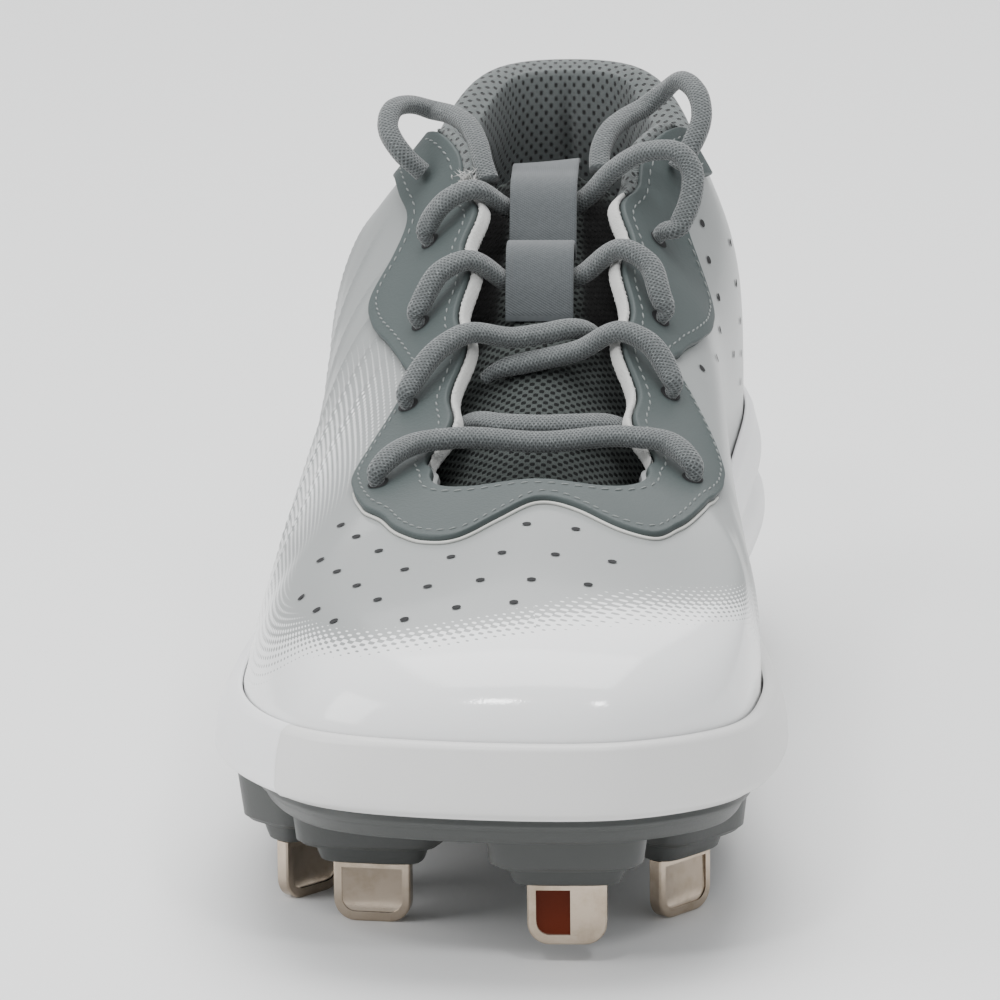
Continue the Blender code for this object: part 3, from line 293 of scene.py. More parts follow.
# Ventilation holes in the vamp: side and distance behind the toe tip, in mm
VAMP_HOLES = (
    (-28.3, 82), (-25.0, 74.5), (-31.2, 67.8), (-27.6, 58.8), (-23.4, 48.8), (-20.3, 64.9),
    (-14.9, 52.4), (-10.2, 41.6), (-33.8, 53.9), (-30.3, 43.1), (-26.7, 34.9), (-19.1, 39.5),
    (-13.7, 28.4), (-6.6, 54.9), (-0.7, 41.2), (-4.5, 30.1), (2.7, 53.6), (8.5, 40.0),
    (5.7, 30.1), (12.4, 52.4), (18.7, 38.9), (22.7, 51.5), (6.7, 67.3), (15.7, 66.0),
)

# Ventilation holes in the medial quarter: distance behind the toe tip and height, in mm
QUARTER_HOLES = (
    (192, 100.5), (204, 93.5), (188, 93.4), (204, 85.6), (186, 86.5), (208, 76.6),
    (180, 81.2), (159, 80.2), (213, 69.0), (143, 81.2), (214, 62.8), (196, 72.0),
)


# Grid of the upper: points round the shoe, up its outer face and down its inner one
AROUND = 480
OUTER_ROWS = 72
INNER_ROWS = 26
EDGE_TUCK = 0.45 * MM
TUCK_REACH = 1.2 * MM

# Grey spot with dashes on the lateral quarter: section number and depth below the edge of its
# middle, and its reach along both, with the depths in metres
DASH_SPOT = (-4.75, 47 * MM, 0.95, 24 * MM)

# Rows of dashes at the toe: their direction, length and spacing, in mm
DASH_LEAN = (0.90, 0.44)
DASH_PITCH = (3.3, 2.0)

# Raised lines on the lateral quarter: their number, first section number, step, lean for each mm
# of depth, width and rise, then the depths in mm and the section numbers between which they show
RIB_LINES = 6
RIB_START = -7.7
RIB_STEP = 0.52
RIB_LEAN = 0.030
RIB_WIDTH = 0.9 * MM
RIB_RISE = 0.45 * MM
RIB_DEPTHS = (18, 30, 58, 72)
RIB_ZONE = (-8.6, -8.0, -4.6, -3.8)
SECTION_STEP = 16 * MM

# Creases of the vamp: section number, width in sections, and share of the full depth, then the
# shares of the section's length between which they show, and how far they lean over it
CREASES = ((3.5, 0.22, 0.5), (4.25, 0.20, 0.35), (-3.7, 0.24, 0.55), (-4.5, 0.2, 0.35))
CREASE_DEPTH = 0.8 * MM
CREASE_SPAN = (0.42, 0.60, 0.84, 0.98)
CREASE_LEAN = 0.5

# Soft bindings, as a loop: distance below the throat's edge, as a share of the reach, and lift
# off the outer face, as a share of the rise
EDGE_LOOP = (
    (1.5, 0.02), (0.9, 0.55), (0.0, 0.62), (-0.6, 0.55), (-1.0, 0.1), (-0.98, -0.5), (-0.9, -1.1),
    (-0.6, -1.65), (0.0, -1.9), (0.9, -1.75),
)
FELT_START, FELT_END, EAR_END = 2.9, 6.85, 7.9
FRAYED_AT = 6.98
FRAYED_THREADS = 130

# Eyestay: section numbers of its ends and of its seams' ends, lift of its edges, and the piping
EYESTAY_END = 8.0
STITCHED_END = 7.9
STITCH_INSET = 2.4 * MM
OVERLAY_SEAT = 0.12 * MM
PIPING_SPAN = (-3.45, 3.5)
PIPING_WIDTH = 0.62 * MM
HOLE_RADIUS = 0.85 * MM

# Laces: sizes as shares of the cord's width and thickness, and their pinched and tucked ends
STRAND_SHAPE = (0.80, 0.86)
LOW_SHAPE = (0.85, 0.7)
LOOP_SHAPE = (1.0, 0.8)
PINCH = 0.42
PINCH_REACH = 4.5 * MM
TUCKED_END = 0.55
# size of the dark discs where each lace enters: the slit and the lace's shadow round it, painted
SLIT_RADIUS = 2.1 * MM

# Collar: the hollow down the middle of the heel, as section number, width and depth
HEEL_HOLLOW = (12.0, 0.11, 2.6 * MM)

# Tongue: arch as a share of its half width, and where painted shade, near-black, shows at its sides
# beside the keeper, along its length and across its half width
TONGUE_ARCH = 0.55
SIDE_SHADE_SPAN = (0.50, 0.54, 0.93, 0.99)
SIDE_SHADE_EDGE = (0.34, 0.44)

# Keeper: the share of the tongue's length where its slant starts, the slant, and its seams
KEEPER_SLANT_FROM = 0.86
KEEPER_SLANT = 0.014
KEEPER_SEAMS = (0.711, 0.722)

# Midsole: how far the front layer stands proud, the section numbers between which it does, and
# the rim's rings as share of the rim's width and drop in mm
WRAP_PROUD = 0.9 * MM
WRAP_ZONE = (-1.90, -1.85, 5.0, 7.0)
RIM_RINGS = ((0.10, 0.45), (0.30, 0.14), (0.60, 0.02), (0.80, 0.03), (1.0, 0.22))

# Plate: inset and drop of its rings, as shares of its thickness
PLATE_RINGS = (
    (0.0, 0.0), (0.0, 0.10), (-0.06, 0.18), (-0.04, 0.30), (0.05, 0.38), (0.16, 0.46), (0.24, 0.62),
    (0.36, 0.86), (0.46, 0.97), (0.62, 1.0),
)

# Pods: width and depth as shares of the stud's width, and height as a share of the pod's, where
# None stands for the inside of the plate
POD_LAYERS = (
    (1.75, 1.35, None), (1.62, 1.22, 0.62), (1.55, 1.15, 0.57), (1.50, 1.10, 0.51), (1.30, 0.78, 0.49),
    (1.25, 0.72, 0.47), (1.19, 0.64, 0.24), (1.13, 0.57, 0.05), (1.07, 0.51, 0.00),
)
STUD_BEVEL = 0.3 * MM

# Stitch: reach along the thread, as a share of its length, and share of its full width
STITCH_RINGS = ((-0.5, 0.10), (-0.42, 0.62), (-0.2, 1.0), (0.2, 1.0), (0.42, 0.62), (0.5, 0.10))

# Camera: the photograph's, in front of the toe and above the ground, to the medial side of the
# foot's line, aimed at the one shoe. Lengths in metres, the photograph's sizes in its pixels
CAMERA_SIDE = 53.5 * MM
CAMERA_DISTANCE = 1150 * MM
CAMERA_HEIGHT = 366.7 * MM
CAMERA_PITCH = 13.4
PHOTO_FOCUS = 4800.0
PHOTO_AXIS = (496.0, 500.0)
VIEW_CENTRE = (298.0, 512.0)
VIEW_WIDTH = 700.0

# Softboxes: name, size in metres, power in watts, place and the point it faces
LIGHTS = (
    ("top_softbox", 1.2, 26.0, (0.0, 0.1, 1.5), (0.0, 0.0, 0.0)),
    ("back_softbox", 1.4, 19.0, (0.0, 1.5, 1.5), (0.0, 1.3, 0.0)),
    ("left_softbox", 0.9, 14.0, (-1.4, -0.5, 0.75), (0.0, -0.1, 0.05)),
    ("front_softbox", 0.16, 4.0, (-0.38, -0.95, 1.10), (0.0, -0.1, 0.05)),
    ("side_softbox", 0.16, 3.6, (0.42, -0.95, 1.00), (0.0, -0.1, 0.05)),
)

# Floor of the studio, a sheet that curves up behind the shoe: its front and the start of its
# curve along Y, its radius, its top and its half width
FLOOR_FRONT, FLOOR_TURN, FLOOR_RADIUS, FLOOR_TOP, FLOOR_HALF = -4.0, 2.2, 0.9, 4.0, 5.0


class Loop:
    """A smooth closed curve through the rows of a table, one row for each whole number."""

    def __init__(self, rows):
        self.rows = np.array(rows, float)
        count = len(self.rows)
        unit = np.eye(count)
        matrix = 4 * unit + np.roll(unit, 1, 0) + np.roll(unit, -1, 0)
        bend = np.roll(self.rows, 1, 0) - 2 * self.rows + np.roll(self.rows, -1, 0)
        self.curve = np.linalg.solve(matrix, 6 * bend)

    def at(self, station):
        station = np.asarray(station, float) % len(self.rows)
        first = np.floor(station).astype(int) % len(self.rows)
        second = (first + 1) % len(self.rows)
        f = (station - np.floor(station))[..., None]
        g = 1 - f
        straight = g * self.rows[first] + f * self.rows[second]
        return straight + ((g**3 - g) * self.curve[first] + (f**3 - f) * self.curve[second]) / 6


def smooth_between(keys, values, at):
    """Values of a smooth open curve through (key, value) rows, at the given keys."""
    keys = np.array(keys, float)
    values = np.array(values, float)
    at = np.clip(np.asarray(at, float), keys[0], keys[-1])
    slopes = np.gradient(values, keys, axis=0)
    i = np.clip(np.searchsorted(keys, at, side="right") - 1, 0, len(keys) - 2)
    step = keys[i + 1] - keys[i]
    f = (at - keys[i]) / step
    if values.ndim > 1:
        f = f[..., None]
        step = step[..., None]
    h = f * f * (3 - 2 * f)
    bend_in = f * (1 - f) ** 2
    bend_out = f * f * (1 - f)
    bend = bend_in * slopes[i] - bend_out * slopes[i + 1]
    return (1 - h) * values[i] + h * values[i + 1] + step * bend


def smooth_step(value, low, high):
    """0 below the low value, 1 above the high one, smooth between."""
    f = np.clip((value - low) / (high - low), 0, 1)
    return f * f * (3 - 2 * f)


def plateau(value, low, rise, fall, high):
    """1 between the two middle values, 0 outside the outer ones, smooth between."""
    return smooth_step(value, low, rise) * (1 - smooth_step(value, fall, high))


def hump(value, middle, width):
    """1 at the middle, falling off like a bell on both sides."""
    return np.exp(-(((value - middle) / width) ** 2))


SOLE = Loop(SOLE_SECTIONS)
UPPER = Loop(UPPER_SECTIONS)
OUTLINE_SAMPLES = SOLE.at(np.linspace(0, STATIONS, 20 * STATIONS))
MIDDLE_SIDE = (OUTLINE_SAMPLES[:, 1].max() + OUTLINE_SAMPLES[:, 1].min()) / 2
MIDDLE_BACK = (OUTLINE_SAMPLES[:, 0].max() + OUTLINE_SAMPLES[:, 0].min()) / 2
UP = np.array([0.0, 0.0, 1.0])


def place(back, side, height):
    """World points from distances behind the toe tip, to the medial side and above ground."""
    back, side, height = np.broadcast_arrays(back, side, height)
    return np.stack([side - MIDDLE_SIDE, back - MIDDLE_BACK, height], axis=-1)


def running(steps):
    """Running totals of a row of steps, from zero."""
    return np.concatenate([[0.0], np.cumsum(steps)])


def unit(vectors):
    return vectors / np.maximum(np.linalg.norm(vectors, axis=-1, keepdims=True), 1e-12)


def outward(station):
    """Unit vectors pointing out of the sole's outline, level with the ground."""
    ahead = SOLE.at(np.asarray(station) + 0.02)[..., :2]
    behind = SOLE.at(np.asarray(station) - 0.02)[..., :2]
    along_back, along_side = (ahead - behind)[..., 0], (ahead - behind)[..., 1]
    return unit(np.stack([along_back, -along_side, np.zeros_like(along_back)], axis=-1))


def base_height(station):
    return SOLE_BASE + TOE_SPRING * SOLE.at(station)[..., 2]


def band_height(station):
    return BAND_HEIGHT + (HEEL_BAND_HEIGHT - BAND_HEIGHT) * SOLE.at(station)[..., 3]


def rim_inset(station):
    return RIM_TUCK * WALL_SWELL * SOLE.at(station)[..., 4]


def edge_drop(station):
    """How far below the section's end the throat's edge is drawn back, most at each lace row."""
    station = np.asarray(station, float) % STATIONS
    from_toe = np.minimum(station, STATIONS - station)
    begins = np.clip(2 * (from_toe - FIRST_ROW + 0.75), 0, 1)
    ends = np.clip(2 * (LAST_ROW + 0.5 - from_toe), 0, 1)
    return THROAT_SCALLOP * begins * ends * (0.5 + 0.5 * np.cos(2 * math.pi * from_toe))


def count_from_toe(station):
    """Section numbers that run below zero on the lateral side."""
    return np.where(station > STATIONS / 2, station - STATIONS, station)


def sole_ring(station, inset, height):
    """Points inset from the sole's outline, at a height above the ground."""
    row = SOLE.at(station)
    inset = np.broadcast_to(inset, np.shape(station))
    return place(row[..., 0], row[..., 1], height) - outward(station) * inset[..., None]


def upper_profile(station, samples=121):
    """Points up each section of the upper's outer surface, from the sole to the edge."""
    row = UPPER.at(station)
    lean, slope = np.radians(row[..., 3]), np.radians(row[..., 5])
    normal = outward(station)
    rim = base_height(station) + band_height(station)
    inset = rim_inset(station) + RIM_WIDTH + GAP
    foot = sole_ring(station, inset, rim - RIM_DEPTH + GAP)
    start = sole_ring(station, inset, rim + GAP)
    crown = place(row[..., 0], row[..., 1], row[..., 2] + SOLE_BASE)
    bulge = start + row[..., 4:5] * (np.sin(lean)[..., None] * normal + np.cos(lean)[..., None] * UP)
    shoulder = crown + row[..., 6:7] * (np.cos(slope)[..., None] * normal - np.sin(slope)[..., None] * UP)
    f = np.linspace(0, 1, samples)[:, None, None]
    g = 1 - f
    curve = g**3 * start + 3 * f * g**2 * bulge + 3 * f * f * g * shoulder + f**3 * crown
    return np.concatenate([foot[None], curve])


def profile_lengths(profile):
    """Lengths from the foot of each profile to each of its points."""
    steps = np.linalg.norm(np.diff(profile, axis=0), axis=-1)
    return np.concatenate([np.zeros((1, steps.shape[1])), np.cumsum(steps, axis=0)])


def section_length(station):
    """Length of the upper's sections from the sole to the edge."""
    return profile_lengths(upper_profile(station))[-1]


def walk_profile(station, below):
    """Points at distances below the edge: one section for each station, many points on each."""
    profile = upper_profile(station)
    lengths = profile_lengths(profile)
    points = np.empty(below.shape + (3,))
    for k in range(len(station)):
        at = lengths[-1, k] - below[k]
        for axis in range(3):
            points[k, :, axis] = np.interp(at, lengths[:, k], profile[:, k, axis])
        past = np.maximum(at - lengths[-1, k], 0.0)[:, None]
        points[k] += past * unit(profile[-1, k] - profile[-2, k])
    return points


def upper_surface(station, below, lift=0.0):
    """Points of the upper below its edge, lifted off its outer face, and the face's normals."""
    station = np.atleast_1d(np.asarray(station, float))
    below = np.asarray(below, float)
    single = below.ndim < 2
    grid = np.broadcast_to(below, station.shape)[:, None] if single else below
    lift = np.broadcast_to(np.asarray(lift, float), station.shape)[:, None] if single else lift
    point = walk_profile(station, grid)
    along = walk_profile(station + 0.03, grid) - walk_profile(station - 0.03, grid)
    up = walk_profile(station, grid - 0.4 * MM) - walk_profile(station, grid + 0.4 * MM)
    normal = unit(np.cross(along, up))
    point = point + normal * np.broadcast_to(lift, grid.shape)[..., None]
    return (point[:, 0], normal[:, 0]) if single else (point, normal)


def lattice(points, amount, spacing, seed):
    """Smooth noise in four octaves of sines in fixed directions, for uneven surfaces."""
    turn = np.random.default_rng(seed)
    total = np.zeros(points.shape[:-1])
    for octave in range(4):
        size = spacing / 1.9**octave
        for _ in range(3):
            direction = unit(turn.normal(size=3))
            phase = turn.uniform(0, 2 * math.pi)
            total += np.sin(points @ direction * 2 * math.pi / size + phase) / 1.6**octave
    return amount * total / 4


COAT_ROUGHNESS = 0.12
SHEEN_ROUGHNESS = 0.5


class Finish:
    """A procedural material: one Principled shader and the nodes that feed it."""

    def __init__(self, name, color, roughness, metallic=0.0, coat=0.0, sheen=0.0, gloss=0.5):
        self.made = bpy.data.materials.new(name)
        self.made.use_nodes = True
        self.tree = self.made.node_tree
        self.shader = self.tree.nodes["Principled BSDF"]
        looks = {
            "Base Color": (*color, 1.0), "Roughness": roughness, "Metallic": metallic,
            "Specular IOR Level": gloss, "Coat Weight": coat, "Coat Roughness": COAT_ROUGHNESS,
            "Sheen Weight": sheen, "Sheen Roughness": SHEEN_ROUGHNESS,
        }
        for socket, value in looks.items():
            self.shader.inputs[socket].default_value = value

    def node(self, kind, **settings):
        made = self.tree.nodes.new("ShaderNode" + kind)
        for name, value in settings.items():
            setattr(made, name, value)
        return made

    def feed(self, socket, value):
        if isinstance(value, bpy.types.NodeSocket):
            self.tree.links.new(value, socket)
        else:
            socket.default_value = value

    def math(self, operation, first, second=0.0):
        made = self.node("Math", operation=operation)
        self.feed(made.inputs[0], first)
        self.feed(made.inputs[1], second)
        return made.outputs[0]

    def add(self, first, second):
        return self.math("ADD", first, second)

    def less(self, first, second):
        return self.math("SUBTRACT", first, second)

    def times(self, first, second):
        return self.math("MULTIPLY", first, second)

    def ramp(self, value, low, high):
        """0 below the low value, 1 above the high one, smooth between."""
        made = self.node("MapRange", interpolation_type="SMOOTHSTEP")
        self.feed(made.inputs["Value"], value)
        made.inputs["From Min"].default_value = low
        made.inputs["From Max"].default_value = high
        return made.outputs["Result"]

    def mix(self, share, first, second):
        """A colour between two others."""
        made = self.node("Mix", data_type="RGBA")
        self.feed(made.inputs[0], share)
        for socket, value in ((made.inputs[6], first), (made.inputs[7], second)):
            self.feed(socket, (*value, 1.0) if isinstance(value, tuple) else value)
        return made.outputs[2]

    def blend(self, share, first, second):
        """A number between two others."""
        gap = self.less(second, first)
        return self.add(first, self.times(share, gap))

    def noise(self, size, detail=3.0, roughness=0.5):
        """Noise with features of a size in metres, from -0.5 to 0.5."""
        where = self.node("TexCoord").outputs["Object"]
        made = self.node("TexNoise")
        self.feed(made.inputs["Vector"], where)
        made.inputs["Scale"].default_value = 1.0 / size
        made.inputs["Detail"].default_value = detail
        made.inputs["Roughness"].default_value = roughness
        return self.less(made.outputs["Fac"], 0.5)

    def grain(self, size):
        """Cells of a size in metres: the distance to the nearest cell's middle, in cells."""
        where = self.node("TexCoord").outputs["Object"]
        made = self.node("TexVoronoi")
        self.feed(made.inputs["Vector"], where)
        made.inputs["Scale"].default_value = 1.0 / size
        return made.outputs["Distance"]

    def chart(self):
        """The two coordinates of the surface's own chart, in millimetres."""
        split = self.node("SeparateXYZ")
        self.feed(split.inputs[0], self.node("UVMap", uv_map="chart").outputs[0])
        return split.outputs[0], split.outputs[1]

    def wave(self, value, period):
        """A cosine wave from -1 to 1."""
        return self.math("COSINE", self.times(value, 2 * math.pi / period))

    def value(self, name):
        """A number kept at the mesh's points."""
        return self.node("Attribute", attribute_name=name).outputs["Fac"]

    def bump(self, height, depth):
        """Relief of a height from 0 to 1, with a depth in metres."""
        made = self.node("Bump")
        made.inputs["Distance"].default_value = depth
        self.feed(made.inputs["Height"], height)
        self.feed(self.shader.inputs["Normal"], made.outputs[0])
        return made

    def color(self, value):
        self.feed(self.shader.inputs["Base Color"], value)

    def roughness(self, value):
        self.feed(self.shader.inputs["Roughness"], value)


# Colours, as linear red, green and blue
WHITE = (0.78, 0.785, 0.785)
FOAM_WHITE = (0.82, 0.82, 0.825)
# greyer white of the layer that wraps the toe: its own tone, with painted shade of its front face
WRAP_SHADED_WHITE = (0.67, 0.665, 0.655)
LIGHT_GREY = (0.240, 0.251, 0.248)
GREY_CLOUD = (0.262, 0.273, 0.270)
SLATE = (0.044, 0.056, 0.0555)
SLATE_CLOUD = (0.053, 0.066, 0.065)
THREAD = (0.155, 0.17, 0.165)
FELT = (0.50, 0.50, 0.48)
MESH_GREY = (0.060, 0.068, 0.065)
COLLAR_GREY = (0.110, 0.123, 0.121)
MESH_HOLE = (0.010, 0.011, 0.011)
# near-black painted shade for the tongue's sides, where the eyestay shades them
PAINTED_SHADE_BLACK = (0.006, 0.006, 0.006)
RIB_GREY = (0.185, 0.195, 0.194)
# brown of a painted reflection in the toe stud's recess
REFLECTION_BROWN = (0.085, 0.0120, 0.0028)
WEBBING = (0.045, 0.052, 0.056)
WEBBING_LIGHT = (0.074, 0.083, 0.088)
LACE_DARK = (0.030, 0.034, 0.035)
LACE_GREY = (0.076, 0.085, 0.086)
LACE_LIGHT = (0.205, 0.222, 0.222)
PLATE_GREY = (0.044, 0.047, 0.045)
NICKEL = (0.47, 0.39, 0.31)
NICKEL_DULL = (0.34, 0.275, 0.205)
LINING = (0.030, 0.033, 0.034)
PIPING_WHITE = (0.52, 0.52, 0.49)
KEEPER_GREY = (0.24, 0.255, 0.26)
# near-black of punched holes and lace slits: painted shade inside them
HOLE_SHADE_BLACK = (0.012, 0.012, 0.013)
CLOTH_GREY = (0.10, 0.11, 0.115)
PAPER = (0.80, 0.80, 0.795)
SKY = (0.90, 0.92, 0.94)
SKY_STRENGTH = 0.80


def skin_finish():
    """Smooth synthetic: light grey, changing to glossy white at the toe through rows of dashes."""
    made = Finish("skin", LIGHT_GREY, 0.34, coat=0.25)
    fade = made.value("toe_fade")
    u, v = made.chart()
    ahead, aside = DASH_LEAN
    lean = made.add(made.times(u, ahead), made.times(v, aside))
    rise = made.less(made.times(v, ahead), made.times(u, aside))
    dots = made.times(made.wave(lean, DASH_PITCH[0]), made.wave(rise, DASH_PITCH[1]))
    level = made.add(made.times(dots, 0.5), 0.5)
    inked = made.ramp(made.less(fade, level), -0.03, 0.07)
    cloud = made.noise(60 * MM, 2.0)
    grey = made.mix(made.add(cloud, 0.5), LIGHT_GREY, GREY_CLOUD)
    lined = made.mix(made.times(made.value("rib"), 0.75), grey, RIB_GREY)
    made.color(made.mix(inked, lined, WHITE))
    made.roughness(made.blend(fade, 0.36, 0.15))
    fine = made.times(made.grain(0.45 * MM), 0.5)
    made.bump(made.add(fine, made.noise(5 * MM, 2.0)), 0.018 * MM)
    return made.made


def overlay_finish():
    """Dark grey satin synthetic."""
    made = Finish("eyestay", SLATE, 0.5, gloss=0.4)
    cloud = made.noise(25 * MM, 3.0)
    made.color(made.mix(made.add(cloud, 0.5), SLATE, SLATE_CLOUD))
    made.roughness(made.add(made.times(cloud, 0.15), 0.6))
    made.bump(made.add(made.grain(0.6 * MM), made.noise(1.2 * MM, 3.0)), 0.03 * MM)
    return made.made


def foam_finish():
    """White foam with a satin skin, greyer on the layer that wraps the toe: partly its own tone, partly
    painted shade of its front face.
    """
    made = Finish("foam", FOAM_WHITE, 0.40, coat=0.08)
    cloud = made.add(made.noise(18 * MM, 4.0), 0.5)
    # the wrap layer's grey: partly its own tone, partly painted shade
    wrap_shaded = made.mix(made.value("wrap"), FOAM_WHITE, WRAP_SHADED_WHITE)
    made.color(made.mix(made.times(cloud, 0.08), wrap_shaded, LIGHT_GREY))
    made.roughness(made.add(made.times(cloud, 0.1), 0.36))
    made.bump(made.noise(1.5 * MM, 4.0, 0.6), 0.03 * MM)
    return made.made


def plain_finish(name, color, roughness, size=0.8 * MM, depth=0.05 * MM, sheen=0.0, spread=0.08, gloss=0.5):
    """One colour with slight clouding and fine grain."""
    made = Finish(name, color, roughness, sheen=sheen, gloss=gloss)
    cloud = made.noise(18 * MM, 4.0)
    darker = tuple((1 - spread) * c for c in color)
    lighter = tuple((1 + spread) * c for c in color)
    made.color(made.mix(made.add(cloud, 0.5), darker, lighter))
    made.roughness(made.add(made.times(cloud, 0.2), roughness))
    made.bump(made.noise(size, 4.0, 0.6), depth)
    return made.made


def mesh_finish(name, pitch_u, pitch_v, hole=0.36, light=MESH_GREY, sides=False):
    """Spacer mesh: staggered dark holes in a knitted grey face; with sides, painted shade in near-black at
    the sides.
    """
    made = Finish(name, light, 0.9, sheen=0.0 if sides else 0.25, gloss=0.15 if sides else 0.4)
    u, v = made.chart()
    depth = made.times(made.wave(u, pitch_u), made.wave(v, pitch_v))
    open_hole = made.ramp(depth, hole, hole + 0.35)
    yarn = made.add(made.times(made.wave(made.add(u, v), 0.45), 0.5), 0.5)
    fleck = made.add(made.noise(0.5 * MM, 2.0), 0.5)
    darker = tuple(0.55 * c for c in light)
    brighter = tuple(1.45 * c for c in light)
    face = made.mix(made.times(made.add(yarn, fleck), 0.5), darker, brighter)
    mesh = made.mix(open_hole, face, MESH_HOLE)
    # painted shade: with sides, the tongue goes near-black beside the keeper, where the eyestay shades it
    made.color(made.mix(made.value("painted_side_shade"), mesh, PAINTED_SHADE_BLACK) if sides else mesh)
    height = made.less(made.times(yarn, 0.2), open_hole)
    made.bump(height, 0.5 * MM)
    return made.made


def lace_finish():
    """Heathered braid: fine crossed yarns, light flecks on dark grey."""
    made = Finish("lace_braid", LACE_GREY, 0.85, sheen=0.35)
    u, v = made.chart()
    slope = made.times(v, 0.62)
    right = made.wave(made.add(u, slope), 0.74)
    left = made.wave(made.less(u, slope), 0.74)
    braid = made.math("MAXIMUM", right, left)
    fleck = made.ramp(made.noise(0.5 * MM, 3.0, 0.7), -0.04, 0.2)
    share = made.times(fleck, made.ramp(braid, 0.0, 0.95))
    dark = made.mix(made.ramp(braid, -0.4, 0.8), LACE_DARK, LACE_GREY)
    made.color(made.mix(made.times(share, 0.8), dark, LACE_LIGHT))
    made.bump(made.add(made.times(braid, 0.5), made.noise(0.4 * MM, 2.0)), 0.14 * MM)
    return made.made


def webbing_finish():
    """Twill tape: fine slanted ribs."""
    made = Finish("keeper_webbing", WEBBING, 0.75, sheen=0.2)
    u, v = made.chart()
    rib = made.wave(made.add(u, made.times(v, 0.6)), 0.52)
    weft = made.wave(v, 0.38)
    fleck = made.noise(0.7 * MM, 3.0)
    share = made.add(made.times(rib, 0.25), made.add(fleck, 0.5))
    made.color(made.mix(share, WEBBING, WEBBING_LIGHT))
    made.bump(made.add(made.times(rib, 0.6), made.times(weft, 0.3)), 0.045 * MM)
    return made.made


def metal_finish():
    """Nickel-plated steel, polished, with fine brushing and a few cloudy marks."""
    made = Finish("polished_nickel", NICKEL, 0.2, metallic=1.0)
    cloud = made.noise(6 * MM, 5.0, 0.65)
    made.color(made.mix(made.ramp(cloud, -0.1, 0.25), NICKEL, NICKEL_DULL))
    made.roughness(made.add(made.times(cloud, 0.22), 0.22))
    made.bump(made.noise(1.4 * MM, 5.0, 0.7), 0.02 * MM)
    return made.made


def add_piece(name, points, faces, finishes, node=None, slot=None, smooth=180.0, face_finish=None,
              chart=None, values=None, outwards=True):
    """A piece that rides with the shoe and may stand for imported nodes."""
    mesh = bpy.data.meshes.new(name)
    points = np.asarray(points, float).reshape(-1, 3)
    mesh.from_pydata(points.tolist(), [], faces)
    if chart is not None:
        layer = mesh.uv_layers.new(name="chart")
        layer.data.foreach_set("uv", np.asarray(chart, np.float32).ravel())
    for key, data in (values or {}).items():
        layer = mesh.attributes.new(key, "FLOAT", "POINT")
        layer.data.foreach_set("value", np.asarray(data, np.float32).ravel())
    if outwards:
        shape = bmesh.new()
        shape.from_mesh(mesh)
        bmesh.ops.recalc_face_normals(shape, faces=shape.faces)
        shape.to_mesh(mesh)
        shape.free()
    mesh.shade_smooth()
    if smooth < 180.0:
        mesh.set_sharp_from_angle(angle=math.radians(smooth))
    made = bpy.data.objects.new(name, mesh)
    bpy.context.scene.collection.objects.link(made)
    for finish in finishes:
        mesh.materials.append(finish)
    if face_finish is not None:
        mesh.polygons.foreach_set("material_index", np.asarray(face_finish, np.int32))
    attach(made, "root")
    if node:
        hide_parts(node)
    return made


def grid_faces(count, size, wrap_u, wrap_v):
    """Quads of a grid of points: their corners, and the grid places of those corners."""
    rows = count if wrap_u else count - 1
    columns = size if wrap_v else size - 1
    i, j = np.meshgrid(np.arange(rows), np.arange(columns), indexing="ij")
    i, j = i.ravel(), j.ravel()
    corners = np.stack([
        i * size + j,
        (i + 1) % count * size + j,
        (i + 1) % count * size + (j + 1) % size,
        i * size + (j + 1) % size,
    ], axis=1)
    chart = np.stack([np.stack([i, j], 1), np.stack([i + 1, j], 1), np.stack([i + 1, j + 1], 1),
                      np.stack([i, j + 1], 1)], axis=1)
    return corners, chart


def add_grid(name, points, finishes, chart=None, wrap=(False, False), caps=False, row_finish=None, **rest):
    """A piece from a grid of points. The chart has one more row or column where the grid wraps."""
    count, size = points.shape[:2]
    corners, places = grid_faces(count, size, *wrap)
    faces = corners.tolist()
    loops = None
    if chart is not None:
        loops = chart[places[..., 0], places[..., 1]].reshape(-1, 2)
    finish = None
    if row_finish is not None:
        finish = np.asarray(row_finish)[places[:, 0, 1]]
    if caps:
        faces.append(list(range(size))[::-1])
        faces.append([(count - 1) * size + k for k in range(size)])
        if loops is not None:
            loops = np.concatenate([loops, np.zeros((2 * size, 2))])
        if finish is not None:
            finish = np.concatenate([finish, [0, 0]])
    return add_piece(name, points, faces, finishes, face_finish=finish, chart=loops, **rest)


def chart_of(points, wrap=(False, True)):
    """Chart coordinates in millimetres: mean distances along both ways of a grid."""
    grid = points
    if wrap[0]:
        grid = np.concatenate([grid, grid[:1]], axis=0)
    if wrap[1]:
        grid = np.concatenate([grid, grid[:, :1]], axis=1)
    step_u = np.linalg.norm(np.diff(grid, axis=0), axis=-1)
    step_v = np.linalg.norm(np.diff(grid, axis=1), axis=-1)
    u = running(step_u.mean(axis=1))
    v = np.concatenate([np.zeros((len(grid), 1)), np.cumsum(step_v, axis=1)], axis=1)
    return np.stack([np.broadcast_to(u[:, None], v.shape), v], axis=-1) / MM


def add_tube(name, sections, finish, charted=True, **rest):
    """A piece from closed sections along a path, with both ends closed."""
    chart = chart_of(sections) if charted else None
    return add_grid(name, sections, [finish], chart=chart, wrap=(False, True), caps=True, **rest)


